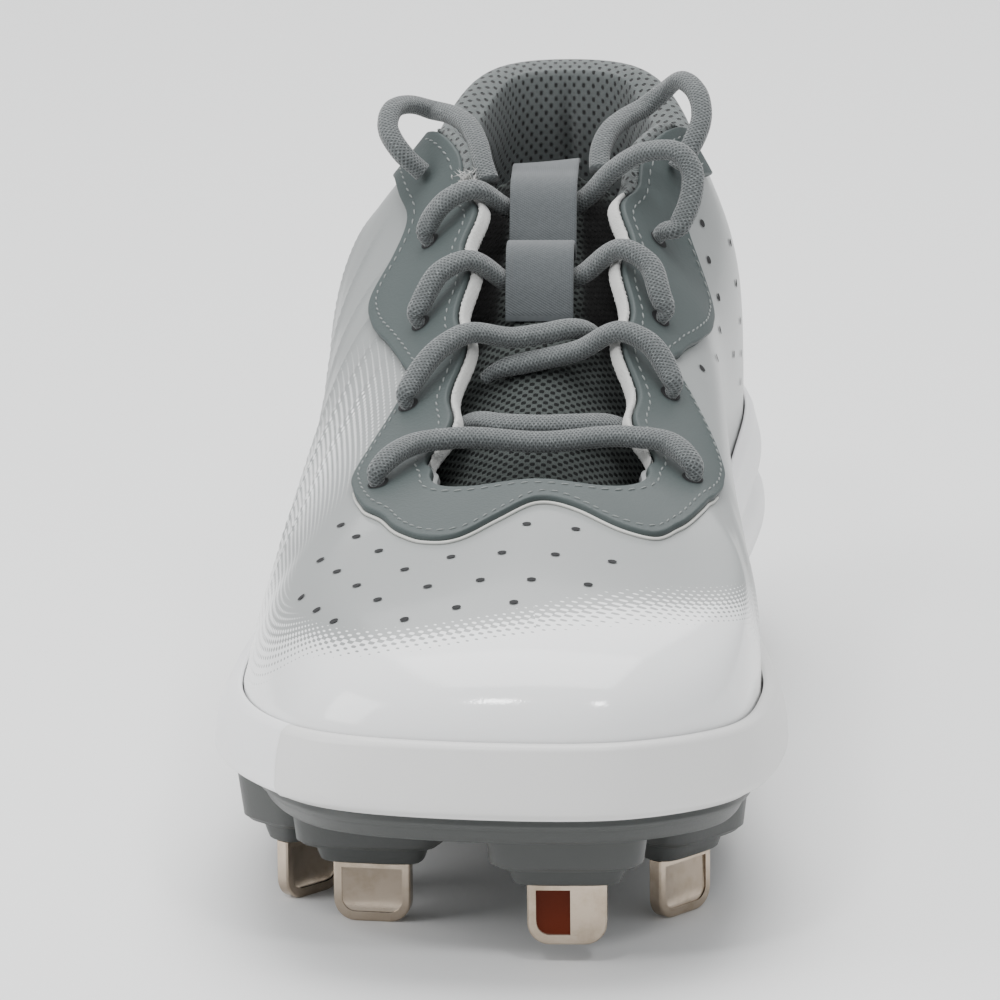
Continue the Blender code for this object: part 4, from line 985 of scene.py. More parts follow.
def stack_piece(name, rings, finish, **rest):
    """A closed piece from rings round the outline, closed across the foot at both ends."""
    points = np.stack(rings, axis=1)
    count, size = points.shape[:2]
    corners, _ = grid_faces(count, size, True, False)
    faces = corners.tolist()
    for level in (0, size - 1):
        for i in range(count // 2):
            a, b = i, i + 1
            c, d = (count - b) % count, (count - a) % count
            face = [a, b] + [k for k in (c, d) if k not in (a, b)]
            faces.append([k * size + level for k in face])
    return add_piece(name, points, faces, [finish], **rest)


def resample(path, spacing):
    """Evenly spaced points of a path: what follows the first three columns goes with them."""
    lengths = running(np.linalg.norm(np.diff(path[:, :3], axis=0), axis=1))
    at = np.linspace(0, lengths[-1], max(2, int(round(lengths[-1] / spacing)) + 1))
    return np.stack([np.interp(at, lengths, path[:, axis]) for axis in range(path.shape[1])], axis=1)


def path_length(path):
    return float(np.linalg.norm(np.diff(np.asarray(path), axis=0), axis=1).sum())


def add_stitches(name, path, normals, finish, slot, length, pitch, width, slant=0.0, sides=6):
    """Short raised threads along a path, joined in one mesh."""
    both = resample(np.concatenate([path, normals], axis=1), pitch)
    turns = [2 * math.pi * i / sides for i in range(sides)]
    points, faces = [], []
    for k in range(len(both) - 1):
        middle = 0.5 * (both[k, :3] + both[k + 1, :3])
        along = unit(both[k + 1, :3] - both[k, :3])
        top = unit(both[k, 3:] + both[k + 1, 3:])
        across = unit(np.cross(top, along))
        along, across = (
            math.cos(slant) * along + math.sin(slant) * across,
            math.cos(slant) * across - math.sin(slant) * along,
        )
        first = len(points)
        for reach, girth in STITCH_RINGS:
            core = middle + reach * length * along + 0.12 * width * (girth - 0.6) * top
            radius = 0.5 * width * girth
            points += [core + radius * (math.cos(a) * across + math.sin(a) * top) for a in turns]
        corners, _ = grid_faces(len(STITCH_RINGS), sides, False, True)
        faces += (corners[:, [0, 3, 2, 1]] + first).tolist()
        faces.append([first + i for i in range(sides)][::-1])
        faces.append([first + (len(STITCH_RINGS) - 1) * sides + i for i in range(sides)])
    return add_piece(name, points, faces, [finish], slot=slot)


def rib_height(station, below):
    """Raised slanted lines on the lateral quarter, as a share of their full height."""
    from_toe = count_from_toe(station)
    height = np.zeros_like(below)
    for k in range(RIB_LINES):
        middle = RIB_START + RIB_STEP * k + RIB_LEAN * (below / MM - 30)
        height += hump(from_toe, middle, RIB_WIDTH / SECTION_STEP)
    return np.clip(height, 0, 1) * plateau(below / MM, *RIB_DEPTHS) * plateau(from_toe, *RIB_ZONE)


def crease_depth(station, below, length):
    """Soft troughs where the vamp bends, in metres."""
    share = below / length
    from_toe = count_from_toe(station)
    depth = np.zeros_like(below)
    for middle, width, deep in CREASES:
        leaning = middle + CREASE_LEAN * (share - 0.5) * np.sign(middle)
        depth += deep * hump(from_toe, leaning, width)
    return CREASE_DEPTH * depth * plateau(share, *CREASE_SPAN)


def toe_fade(from_toe, below):
    """How white the skin is, at least at the toe and the lateral dashes: 0 is grey, 1 white."""
    rows = np.array(TOE_FADE)
    start = MM * smooth_between(rows[:, 0], rows[:, 1], from_toe)[:, None]
    full = MM * smooth_between(rows[:, 0], rows[:, 2], from_toe)[:, None]
    beyond = smooth_step(np.abs(from_toe), 6.0, 7.0)[:, None]
    fade = np.clip((below - start) / (full - start), -0.2, 1.2) * (1 - beyond) - 0.2 * beyond
    middle, deep, along, down = DASH_SPOT
    spot = ((from_toe[:, None] - middle) / along) ** 2 + ((below - deep) / down) ** 2
    return np.maximum(fade, 0.62 * np.exp(-spot) - 0.06)


def build_upper():
    around = np.linspace(0, STATIONS, AROUND, endpoint=False)
    length = section_length(around)[:, None]
    edge = edge_drop(around)[:, None]
    below_out = edge + (1 - np.linspace(0, 1, OUTER_ROWS)[None, :]) * (length - edge)
    below_in = edge + np.linspace(0, 1, INNER_ROWS)[None, :] * (length - edge)
    station = np.broadcast_to(around[:, None], below_out.shape)
    ribs = rib_height(station, below_out)
    lift_out = RIB_RISE * ribs - crease_depth(station, below_out, length)
    tuck_out = EDGE_TUCK * (1 - smooth_step(below_out - edge, 0, TUCK_REACH))
    tuck_in = EDGE_TUCK * (1 - smooth_step(below_in - edge, 0, TUCK_REACH))
    below = np.concatenate([below_out, below_in], axis=1)
    lift = np.concatenate([lift_out - tuck_out, tuck_in - WALL], axis=1)
    points, _ = upper_surface(around, below, lift)
    lengths = np.linalg.norm(np.diff(sole_ring(np.append(around, STATIONS), 0.0, 0.0), axis=0), axis=1)
    chart = chart_of(points, (True, True))
    chart[..., 0] = (running(lengths) / MM)[:, None]
    chart[:-1, :-1, 1] = below / MM
    chart[-1, :-1, 1] = below[0] / MM
    values = {
        "toe_fade": toe_fade(count_from_toe(around), below),
        "rib": np.concatenate([ribs, 0 * below_in], axis=1),
    }
    finish = [0] * (OUTER_ROWS - 1) + [1] * (INNER_ROWS + 1)
    add_grid("upper_skin", points, [skin_finish(), LINING_FINISH], chart=chart, wrap=(True, True),
             row_finish=finish, node="upper", slot="upper", values=values)
    return points[:, :OUTER_ROWS], around, below_out


def nearest(points, target, weight):
    """Row and column of the point nearest to a target, with a weight for each axis."""
    away = np.linalg.norm((points - target) * weight, axis=-1)
    return np.unravel_index(np.argmin(away), away.shape)


def add_discs(name, middles, normals, radius, finish, slot, sides=14):
    """Flat round spots joined in one mesh, for punched holes: dark discs that paint the shade inside a
    hole.
    """
    points, faces = [], []
    for middle, normal in zip(middles, normals):
        side = unit(np.cross(normal, np.array([0.0, 1.0, 0.2])))
        ahead = np.cross(side, normal)
        first = len(points)
        points.append(middle - 0.02 * MM * normal)
        for i in range(sides):
            a = 2 * math.pi * i / sides
            points.append(middle + radius * (math.cos(a) * side + math.sin(a) * ahead) + 0.03 * MM * normal)
            faces.append([first, first + 1 + i, first + 1 + (i + 1) % sides])
    return add_piece(name, points, faces, [finish], slot=slot, outwards=False)


def build_holes(points, around, below):
    face = upper_surface(around, below)[1]
    middles, normals = [], []
    level = np.array([1.0, 1.0, 0.0])
    for side, back in VAMP_HOLES:
        target = place(back * MM, side * MM, 0.0)
        spot = nearest(points, target, level)
        shift = (target - points[spot]) * level
        shift[2] = -(shift[0] * face[spot][0] + shift[1] * face[spot][1]) / face[spot][2]
        middles.append(points[spot] + shift)
        normals.append(face[spot])
    medial = (around > 1) & (around < 11)
    for back, height in QUARTER_HOLES:
        target = np.array([0.08, back * MM - MIDDLE_BACK, height * MM])
        spot = nearest(points[medial], target, np.array([0.02, 1.0, 1.0]))
        middles.append(points[medial][spot])
        normals.append(face[medial][spot])
    middles = [m + 0.16 * MM * n for m, n in zip(middles, normals)]
    # the punched holes are dark discs: the dark lining seen through each hole, with its shade painted
    add_discs("ventilation_holes", middles, normals, HOLE_RADIUS, HOLE_SHADE_FINISH, "upper")


def eyestay_width(station):
    keys, shares = zip(*EYESTAY_REACH)
    return THROAT_WIDTH * smooth_between(keys, shares, station)


def build_eyestay():
    around = np.linspace(-EYESTAY_END, EYESTAY_END, 560)
    edge = (edge_drop(around) + OVERLAY_SETBACK)[:, None]
    reach = eyestay_width(around)[:, None] - edge
    corner = np.array([0.0, 0.05, 0.14, 0.28, 0.5])[None, :] * MM
    middle = 0.8 * MM + np.linspace(0, 1, 26)[None, :] * (reach - 1.6 * MM)
    inset = np.concatenate([0 * reach + corner, middle, reach - corner[:, ::-1]], axis=1)
    top = reach + edge - inset
    rounding = np.clip(np.minimum(inset, reach - inset) / (0.5 * MM), 0, 1)
    thick = OVERLAY_GAP + OVERLAY - OVERLAY_SEAT
    lift_top = OVERLAY_SEAT + thick * (0.55 + 0.45 * np.sqrt(1 - (1 - rounding) ** 2))
    below = np.concatenate([top, top[:, ::-1]], axis=1)
    lift = np.concatenate([lift_top, np.full_like(top, 0.10 * MM)], axis=1)
    points, _ = upper_surface(around, below, lift)
    add_tube("eyestay_overlay", points, overlay_finish(), node="eyestay", slot="eyestay")
    line = np.linspace(-STITCHED_END, STITCHED_END, 900)
    rows = (("eyestay_stitches_outer", eyestay_width(line) - STITCH_INSET),
            ("eyestay_stitches_throat", edge_drop(line) + OVERLAY_SETBACK + STITCH_INSET))
    for name, at in rows:
        path, normal = upper_surface(line, at, OVERLAY_GAP + OVERLAY + 0.06 * MM)
        add_stitches(name, path, normal, THREAD_FINISH, "eyestay", length=1.5 * MM, pitch=2.5 * MM,
                     width=0.34 * MM, slant=0.16)
    line = np.linspace(*PIPING_SPAN, 500)
    path, _ = upper_surface(line, eyestay_width(line) + 0.22 * MM, 0.30 * MM)
    sections = lace_sections(resample(path, 0.5 * MM), PIPING_WIDTH, PIPING_WIDTH, 10)
    add_tube("eyestay_piping", sections, PIPING_FINISH, charted=False, slot="eyestay")


def build_edge(name, first, last, reach, rise, finish, rough):
    """A soft binding along the throat's edge, between two places round the shoe."""
    around = np.linspace(first, last, 420)
    edge = edge_drop(around)[:, None]
    full = smooth_step(np.minimum(around - first, last - around)[:, None], 0.0, 0.25)
    size = reach * (0.25 + 0.75 * full)
    below = np.concatenate([edge + size * at for at, _ in EDGE_LOOP], axis=1)
    lift = np.concatenate([np.full_like(edge, depth * rise) for _, depth in EDGE_LOOP], axis=1)
    points, normals = upper_surface(around, below, lift)
    points = points + normals * lattice(points, rough, 0.8 * MM, 3)[..., None]
    add_tube(name, points, finish, slot="upper")


def build_edges():
    """The white felted cut edge along the throat, and the mesh binding of the ears above it."""
    for side, name in ((-1, "lateral"), (1, "medial")):
        felt = sorted((side * FELT_START, side * (FELT_END + 0.1)))
        ear = sorted((side * (FELT_END - 0.1), side * EAR_END))
        build_edge(f"felt_edge_{name}", *felt, 0.46 * MM, 1.15 * MM, FELT_FINISH, 0.22 * MM)
        build_edge(f"ear_binding_{name}", *ear, 1.3 * MM, 1.7 * MM, COLLAR_FINISH, 0.05 * MM)


def build_tuft():
    """Frayed white threads where the felt meets the lateral ear."""
    random = np.random.default_rng(7)
    station = np.array([-FRAYED_AT])
    root, up = upper_surface(station, edge_drop(station) - 1.2 * MM, 1.6 * MM)
    points, faces = [], []
    for _ in range(FRAYED_THREADS):
        start = root[0] + random.normal(0, 1.0 * MM, 3)
        reach = unit(random.normal(0, 1, 3) + 0.5 * up[0]) * random.uniform(1.0, 2.6) * MM
        side = unit(np.cross(reach, random.normal(0, 1, 3))) * 0.13 * MM
        over = unit(np.cross(reach, side)) * 0.13 * MM
        a = len(points)
        points += [start + side, start - 0.5 * side + over, start - 0.5 * side - over, start + reach]
        faces += [[a, a + 1, a + 2], [a, a + 3, a + 1], [a + 1, a + 3, a + 2], [a + 2, a + 3, a]]
    add_piece("frayed_threads", points, faces, [FELT_FINISH], slot="upper")


def build_midsole():
    around = np.linspace(0, STATIONS, AROUND, endpoint=False)
    base, band = base_height(around), band_height(around)
    heel, swell = SOLE.at(around)[:, 3], SOLE.at(around)[:, 4] * WALL_SWELL
    from_toe = count_from_toe(around)
    wrap = plateau(from_toe, *WRAP_ZONE)
    table = np.array(MIDSOLE_WALL)
    rings = []
    for h in np.linspace(0, 1, 30) * table[-1, 1]:
        inset, groove = smooth_between(table[:, 1], table[:, ::2], h)
        dip = HEEL_GROOVE * groove * np.clip(heel, 0, 1)
        proud = WRAP_PROUD * wrap * smooth_step(h, 0.02, 0.10)
        rings.append(sole_ring(around, inset * swell + dip - proud, base + h * band))
    for share, drop in RIM_RINGS:
        inset = rim_inset(around) + share * RIM_WIDTH - WRAP_PROUD * wrap * (1 - share)
        rings.append(sole_ring(around, inset, base + band - drop * MM))
    rings.append(sole_ring(around, rim_inset(around) + RIM_WIDTH, base + band - RIM_DEPTH))
    layer = np.broadcast_to(wrap[:, None], (len(around), len(rings)))
    stack_piece("midsole_foam", rings, FOAM_FINISH, node="midsole", slot="midsole", smooth=50.0,
                values={"wrap": layer})


def spring_at(back):
    medial = OUTLINE_SAMPLES[: len(OUTLINE_SAMPLES) // 2]
    return np.interp(back, medial[:, 0], medial[:, 2])


def stud_seat(back):
    return STUD_REACH + 1.5 * TOE_SPRING * max(0.0, spring_at(back) - 0.42)


def rounded(angle, power):
    """Points of a loop between a circle and a square, from -1 to 1 both ways."""
    c, s = np.cos(angle), np.sin(angle)
    return np.sign(c) * np.abs(c) ** power, np.sign(s) * np.abs(s) ** power


def pod_layer(back, side, turn, wide, deep, height, count=40):
    """A level rounded-rectangle loop round a stud."""
    x, y = rounded(np.arange(count) * 2 * math.pi / count, 0.55)
    x, y = 0.5 * wide * x, 0.5 * deep * y
    a = math.radians(turn)
    return place(back + x * math.sin(a) + y * math.cos(a), side + x * math.cos(a) - y * math.sin(a), height)


def build_plate():
    around = np.linspace(0, STATIONS, AROUND, endpoint=False)
    base = base_height(around)
    under = 0.95 * SOLE.at(around)[:, 4] * WALL_SWELL + 1.2 * MM
    rings = [
        sole_ring(around, under + inset * PLATE_THICKNESS, base - GAP - drop * PLATE_THICKNESS)
        for inset, drop in PLATE_RINGS
    ]
    stack_piece("plate", rings, PLATE_FINISH, node="outsole_plate", slot="outsole_plate", smooth=50.0)
    for name, back, side, turn, spread in STUDS:
        seat = stud_seat(back)
        top = SOLE_BASE + TOE_SPRING * spring_at(back) - 0.4 * PLATE_THICKNESS
        size = STUD_WIDTH * spread
        sections = []
        for wide, deep, share in POD_LAYERS:
            height = top if share is None else seat + share * POD_HEIGHT
            sections.append(pod_layer(back, side, turn, wide * size, deep * STUD_WIDTH, height))
        add_tube(name.replace("stud", "pod"), np.stack(sections), PLATE_FINISH, charted=False,
                 slot="outsole_plate", smooth=45.0)


def stud_outline(width, height, corner, lower=0.0, steps=8):
    """A blade's outline as (across, up) points from its top, with round lower corners."""
    points = [(-0.5 * width, 0.0)]
    for centre, start in ((-1, 180), (1, 270)):
        for k in range(steps + 1):
            a = math.radians(start + 90 * k / steps)
            x = centre * (0.5 * width - corner) + corner * math.cos(a)
            points.append((x, -height + corner + corner * math.sin(a)))
    points.append((0.5 * width, 0.0))
    return [(x, z - lower) for x, z in points]


def stud_panel(height):
    """Outline of the recess in a stud's face."""
    rims = 2 * STUD_RIM
    return stud_outline(STUD_WIDTH - rims, height - rims, STUD_CORNER - STUD_RIM, 0.8 * STUD_RIM)


def build_studs():
    height = STUD_REACH - GAP
    half = 0.5 * STUD_THICKNESS
    floor = half - STUD_RECESS
    rim = stud_outline(STUD_WIDTH, height, STUD_CORNER)
    face = stud_outline(STUD_WIDTH - 2 * STUD_BEVEL, height - STUD_BEVEL, STUD_CORNER - STUD_BEVEL)
    panel = stud_panel(height)
    inner = [(0.95 * x, -0.5 * height + 0.95 * (z + 0.5 * height)) for x, z in panel]
    front = ((inner, floor), (panel, floor + 0.12 * MM), (panel, half), (face, half),
             (rim, half - STUD_BEVEL))
    loops = [(shape, -depth) for shape, depth in front] + list(front[::-1])
    for name, back, side, turn, _ in STUDS:
        a = math.radians(turn)
        sections = []
        for shape, depth in loops:
            x, z = np.array(shape).T
            sections.append(place(back + x * math.sin(a) + depth * math.cos(a),
                                  side + x * math.cos(a) - depth * math.sin(a), stud_seat(back) - GAP + z))
        add_tube(name + "_blade", np.stack(sections), METAL_FINISH, charted=False, node=name, slot=name,
                 smooth=40.0)


def build_toe_panel():
    """The toe stud's recess, with a painted reflection in brown on its lateral part; its medial half is
    filled flush with metal.
    """
    _, back, side, _, _ = STUDS[0]
    face = back - 0.5 * STUD_THICKNESS
    edge = 0.04 * STUD_WIDTH
    panel = stud_panel(STUD_REACH - GAP)
    halves = (
        # painted reflection: a brown sheet in the recess's lateral part
        ("stud_toe_inset", [(min(x, edge), z) for x, z in panel], REFLECTION_BROWN_FINISH, STUD_RECESS - 0.1 * MM),
        ("stud_toe_half", [(max(x, edge), z) for x, z in panel], METAL_FINISH, 0.02 * MM),
    )
    for name, loop, finish, near in halves:
        x, z = np.array(loop).T
        low = stud_seat(back) - GAP
        sections = [place(face + depth, side + x, low + z) for depth in (near, STUD_RECESS + 0.2 * MM)]
        add_tube(name, np.stack(sections), finish, charted=False, slot="stud_toe", smooth=30.0)


def build_collar():
    around = np.linspace(*COLLAR_SPAN, 420)
    end = np.minimum(around - COLLAR_SPAN[0], COLLAR_SPAN[1] - around)
    full = smooth_step(end, 0, COLLAR_FADE)
    drop = COLLAR_DROP * (0.25 + 0.75 * full)
    pad = COLLAR_PAD * (0.45 + 0.55 * full)
    roll = COLLAR_ROLL * (0.2 + 0.8 * full)
    inside = np.full_like(pad, WALL + COLLAR_CLEARANCE)
    brim = np.full_like(pad, -GAP)
    loop = [(share * drop, inside) for share in (1.0, 0.5)]
    loop += [(brim, inside), (brim, 0.03 * pad)]
    loop += [(-share * roll - GAP, depth * pad) for share, depth in COLLAR_ABOVE]
    loop += [(share * drop, inside + depth * (pad - WALL)) for share, depth in COLLAR_BELOW]
    loop.append(loop[0])
    fine = np.concatenate([np.linspace(0, 3, 7), np.linspace(3, len(loop) - 1, 48)[1:]])[:-1]
    below, depth = (smooth_between(range(len(loop)), rows, fine).T for rows in zip(*loop))
    middle, width, hollow = HEEL_HOLLOW
    hollow = hollow * hump(around, middle, width)[:, None] * smooth_step(fine, 7.0, 9.0)[None, :]
    points, _ = upper_surface(around, below, -depth + hollow)
    made = add_tube("collar_padding", points, COLLAR_FINISH, node="collar_pad", slot="collar_pad")


def build_insole():
    around = np.linspace(0, STATIONS, 360, endpoint=False)
    floor = base_height(around) + band_height(around) - RIM_DEPTH + GAP
    inset = rim_inset(around) + RIM_WIDTH + WALL + 3 * GAP
    cup = INSOLE_THICKNESS * (1 + 0.5 * np.clip(SOLE.at(around)[:, 3], 0, 1))
    steps = (
        (1.0, 0.0), (0.0, 0.3 * INSOLE_THICKNESS), (0.3, 0.9 * cup), (0.9, cup), (2.4, cup - 0.1 * MM),
        (5.0, 0.5 * (cup + INSOLE_THICKNESS)), (8.0, INSOLE_THICKNESS),
    )
    rings = [sole_ring(around, inset + inner * MM, floor + rise) for inner, rise in steps]
    made = stack_piece("insole_foam", rings, INSOLE_FINISH, node="insole", slot="insole", smooth=60.0)


def tongue_point(share, across, sink=0.0):
    """A point of the tongue's arched top: share of its length, and place across from -1 to 1."""
    rows = np.array(TONGUE_SECTIONS)
    back = rows[0, 0] + share * (rows[-1, 0] - rows[0, 0])
    found = smooth_between(rows[:, 0], rows[:, 1:], back)
    half = 0.5 * TONGUE_WIDTH * found[..., 1]
    arch = TONGUE_ARCH * half * (1 - np.cos(0.5 * math.pi * np.abs(across)))
    return place(back, TONGUE_OFFSET + across * half, found[..., 0] + SOLE_BASE - arch - sink)


def build_tongue():
    shares = np.linspace(0, 1, 120)
    across = np.linspace(-1, 1, 49)
    edge = 0.6 * MM * np.abs(across) ** 14
    sections = []
    for share in shares:
        thick = TONGUE_THICKNESS * (0.75 + 0.25 * math.sin(math.pi * share))
        slim = 0.0
        if share > 0.98:
            slim = 0.5 * thick * math.sqrt(max(0.0, 1 - min(1.0, (1 - share) / 0.02) ** 2))
        under = thick * (1 - 0.55 * np.abs(across[::-1]) ** 3) - slim
        top = tongue_point(share, across, slim + edge)
        sections.append(np.concatenate([top, tongue_point(share, 0.985 * across[::-1], under)]))
    loop = np.abs(np.concatenate([across, across[::-1]]))
    # painted shade: near-black at the tongue's sides beside the keeper, under the eyestay
    painted_side_shade = plateau(shares, *SIDE_SHADE_SPAN)[:, None] * smooth_step(loop, *SIDE_SHADE_EDGE)[None, :]
    made = add_tube("tongue_mesh", np.stack(sections), TONGUE_FINISH, node="tongue", slot="tongue",
                    smooth=60.0, values={"painted_side_shade": painted_side_shade})


def build_keeper():
    shares, lifts = zip(*KEEPER_SECTIONS)
    share = np.linspace(shares[0], shares[-1], 160)
    lift = GAP + KEEPER_SLOT * smooth_between(shares, lifts, share)
    slanted = KEEPER_SLANT * smooth_step(share, KEEPER_SLANT_FROM, shares[-1])
    half = 0.5 * KEEPER_WIDTH
    across = np.concatenate([[-1, -0.985], np.linspace(-0.95, 0.95, 17), [0.985, 1]])
    crown = np.array([0.25, 0.75] + [1.0] * 17 + [0.75, 0.25])
    loop = list(zip(across, 0.5 + 0.5 * crown)) + list(zip(across[::-1], 0.5 - 0.5 * crown[::-1]))
    rows = []
    for a, level in loop:
        raised = tongue_point(share + (a - 1) * slanted, 0.0, -lift - KEEPER_THICKNESS * level)
        rows.append(raised + np.array([a * half, 0.0, 0.0]))
    add_tube("keeper_tape", np.stack(rows, axis=1), WEBBING_FINISH, node="tongue_keeper",
             slot="tongue_keeper", smooth=60.0)
    line = np.linspace(-0.94, 0.94, 30) * half
    normal = np.tile(unit(np.array([0.0, -0.5, 1.0])), (len(line), 1))
    for k, at in enumerate(KEEPER_SEAMS):
        lift_at = GAP + KEEPER_SLOT * float(smooth_between(shares, lifts, at)) + KEEPER_THICKNESS
        path = tongue_point(at, 0.0, -lift_at) + np.stack([line, 0 * line, 0 * line], axis=1)
        add_stitches(f"keeper_stitches_{k + 1}", path, normal, KEEPER_THREAD, "tongue_keeper",
                     length=1.0 * MM, pitch=1.2 * MM, width=0.4 * MM)


def throat_point(row, across, rise):
    """A point over the throat, between its two edges, or over the eyestay outside them."""
    lift = rise * LACE_THICKNESS + OVERLAY_GAP + OVERLAY
    row = np.array([row])
    below = edge_drop(row)
    if across < 0:
        return upper_surface(-row, below - across * THROAT_WIDTH, lift)[0][0]
    if across > 1:
        return upper_surface(row, below + (across - 1) * THROAT_WIDTH, lift)[0][0]
    lateral, medial = upper_surface(-row, below, lift)[0][0], upper_surface(row, below, lift)[0][0]
    return lateral + across * (medial - lateral)


def smooth_path(points, count):
    points = np.asarray(points)
    keys = running(np.linalg.norm(np.diff(points, axis=0), axis=1))
    return smooth_between(keys, points, np.linspace(0, keys[-1], count))


def lace_sections(path, width, thickness, sides=20):
    """Rounded flat loops along a path, lying with their width level."""
    ahead = unit(np.gradient(path, axis=0))
    up = np.array([0.0, -math.sin(LACE_TILT), math.cos(LACE_TILT)])
    across = unit(np.cross(ahead, up))
    top = np.cross(across, ahead)
    x, z = rounded(2 * math.pi * np.arange(sides) / sides, 0.8)
    width, thickness = (np.broadcast_to(size, (len(path),))[:, None] * 0.5 for size in (width, thickness))
    sideways = (width * x)[..., None] * across[:, None]
    upwards = (thickness * z)[..., None] * top[:, None]
    return path[:, None] + sideways + upwards


def build_laces():
    slit_shadows, normals = [], []
    for name, rows in LACE_STRANDS.items():
        points = [throat_point(*row) for row in rows]
        for end, (row, across, _) in ((0, rows[0]), (len(rows) + 1, rows[-1])):
            if -0.2 <= across <= 1.2:
                continue
            outer = math.copysign(0.03, across)
            points.insert(end, throat_point(row, across + outer, -TUCKED_END))
            beyond = THROAT_WIDTH * (abs(across) - (across > 1) + 0.02)
            spot, face = upper_surface(math.copysign(row, outer), edge_drop(np.array([row])) + beyond,
                                       OVERLAY_GAP + OVERLAY + 0.1 * MM)
            slit_shadows.append(spot[0])
            normals.append(face[0])
        path = smooth_path(points, 150)
        along = np.linspace(0, 1, len(path))
        ends = np.minimum(along, 1 - along) * path_length(path)
        pinch = 1 - PINCH * hump(ends, 0, PINCH_REACH)
        wide, thick = STRAND_SHAPE
        sections = lace_sections(path, wide * LACE_WIDTH * pinch, thick * LACE_THICKNESS * pinch)
        add_tube(name + "_braid", sections, LACE_FINISH, node=name, slot=name)
    path = smooth_path([throat_point(*row) for row in LOW_STRAND], 90)
    sections = lace_sections(path, LOW_SHAPE[0] * LACE_WIDTH, LOW_SHAPE[1] * LACE_THICKNESS)
    add_tube("lace_low_strand", sections, LACE_FINISH, slot="lace_row_1")
    # dark discs where the laces enter the eyestay: the slit and the lace's shadow, painted
    add_discs("lace_slit_shadows", slit_shadows, normals, SLIT_RADIUS, HOLE_SHADE_FINISH, "eyestay")
    for name, rows in LACE_LOOPS.items():
        back, side, rise = np.array(rows).T
        path = smooth_path(place(back, side, rise + SOLE_BASE), 200)
        sections = lace_sections(path, *(LOOP_THICKNESS * share for share in LOOP_SHAPE))
        made = add_tube(name + "_braid", sections, LACE_FINISH, node=name, slot=name)


def build_camera():
    data = bpy.data.cameras.new("photo_camera")
    camera = bpy.data.objects.new("photo_camera", data)
    bpy.context.scene.collection.objects.link(camera)
    data.sensor_width = 36.0
    data.lens = 36.0 * PHOTO_FOCUS / VIEW_WIDTH
    data.clip_end = 20.0
    left = math.atan((PHOTO_AXIS[0] - VIEW_CENTRE[0]) / PHOTO_FOCUS)
    down = math.atan((VIEW_CENTRE[1] - PHOTO_AXIS[1]) / PHOTO_FOCUS)
    turned = Matrix.Rotation(math.radians(90 - CAMERA_PITCH), 4, "X")
    turned = turned @ Matrix.Rotation(left, 4, "Y") @ Matrix.Rotation(-down, 4, "X")
    where = Vector((CAMERA_SIDE - MIDDLE_SIDE, -(CAMERA_DISTANCE + MIDDLE_BACK), CAMERA_HEIGHT))
    camera.matrix_world = Matrix.Translation(where) @ turned
    bpy.context.scene.camera = camera


def add_light(name, size, power, where, target):
    data = bpy.data.lights.new(name, "AREA")
    data.shape = "RECTANGLE"
    data.size = data.size_y = size
    data.energy = power
    light = bpy.data.objects.new(name, data)
    light.location = where
    light.rotation_mode = "QUATERNION"
    light.rotation_quaternion = (Vector(target) - Vector(where)).to_track_quat("-Z", "Y")
    bpy.context.scene.collection.objects.link(light)


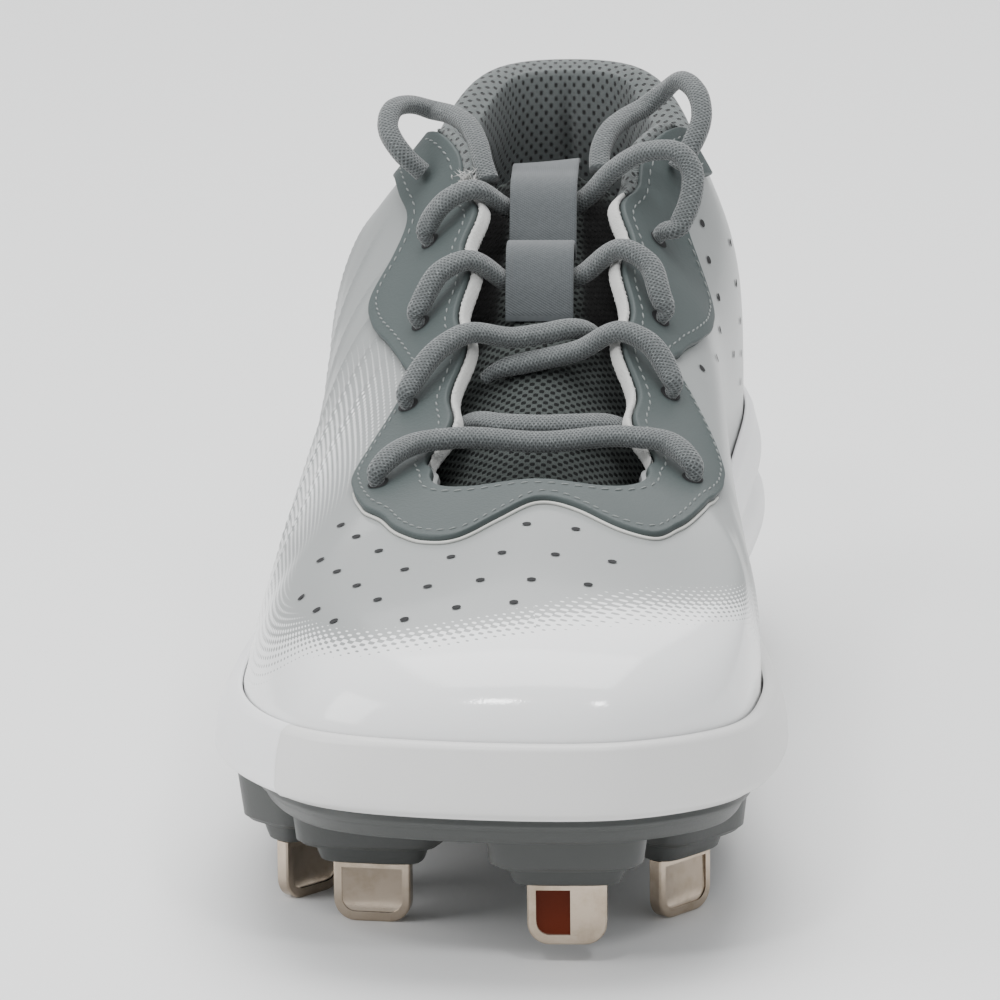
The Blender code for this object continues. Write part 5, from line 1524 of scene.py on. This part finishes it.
def build_studio():
    world = bpy.data.worlds.new("studio")
    bpy.context.scene.world = world
    world.use_nodes = True
    sky = world.node_tree.nodes["Background"]
    sky.inputs["Color"].default_value = (*SKY, 1.0)
    sky.inputs["Strength"].default_value = SKY_STRENGTH
    for light in LIGHTS:
        add_light(*light)
    rows = [(FLOOR_FRONT, 0.0), (FLOOR_TURN, 0.0)]
    for k in range(1, 13):
        a = math.radians(90 * k / 12)
        rows.append((FLOOR_TURN + FLOOR_RADIUS * math.sin(a), FLOOR_RADIUS * (1 - math.cos(a))))
    rows.append((FLOOR_TURN + FLOOR_RADIUS, FLOOR_TOP))
    points = [(x, y, z) for y, z in rows for x in (-FLOOR_HALF, FLOOR_HALF)]
    faces = [(2 * k, 2 * k + 1, 2 * k + 3, 2 * k + 2) for k in range(len(rows) - 1)]
    mesh = bpy.data.meshes.new("studio_floor")
    mesh.from_pydata(points, [], faces)
    mesh.shade_smooth()
    floor = bpy.data.objects.new("studio_floor", mesh)
    bpy.context.scene.collection.objects.link(floor)
    made = Finish("studio_paper", PAPER, 0.6)
    made.bump(made.noise(4 * MM, 3.0), 0.02 * MM)
    mesh.materials.append(made.made)


LINING_FINISH = plain_finish("lining", LINING, 0.95, 0.7 * MM, 0.2 * MM, sheen=0.2, spread=0.2)
PIPING_FINISH = plain_finish("piping", PIPING_WHITE, 0.6)
THREAD_FINISH = plain_finish("thread", THREAD, 0.7, 0.3 * MM, 0.08 * MM, sheen=0.2, spread=0.15)
KEEPER_THREAD = plain_finish("keeper_thread", KEEPER_GREY, 0.7, 0.3 * MM, 0.08 * MM, sheen=0.2)
FELT_FINISH = plain_finish("felt", FELT, 0.95, 0.35 * MM, 0.3 * MM, sheen=0.5, spread=0.06)
FOAM_FINISH = foam_finish()
PLATE_FINISH = plain_finish("plate_plastic", PLATE_GREY, 0.45, 0.5 * MM, 0.03 * MM, spread=0.05)
METAL_FINISH = metal_finish()
# painted reflection in the toe stud's recess
REFLECTION_BROWN_FINISH = plain_finish("painted_reflection_brown", REFLECTION_BROWN, 0.6, 0.9 * MM, 0.05 * MM, spread=0.35, gloss=0.15)
# painted shade for holes and slits, in a material named hole
HOLE_SHADE_FINISH = plain_finish("hole", HOLE_SHADE_BLACK, 0.9)
COLLAR_FINISH = mesh_finish("collar_mesh", 2.4, 2.9, 0.30, COLLAR_GREY)
TONGUE_FINISH = mesh_finish("tongue_spacer", 2.4, 2.1, 0.05, sides=True)
INSOLE_FINISH = plain_finish("insole_cloth", CLOTH_GREY, 0.9, 0.5 * MM, 0.1 * MM, sheen=0.3)
WEBBING_FINISH = webbing_finish()
LACE_FINISH = lace_finish()

build_camera()
build_laces()
skin_points, skin_around, skin_below = build_upper()
build_holes(skin_points, skin_around, skin_below)
build_eyestay()
build_edges()
build_tuft()
build_midsole()
build_plate()
build_studs()
build_toe_panel()
build_collar()
build_insole()
build_tongue()
build_keeper()
build_studio()
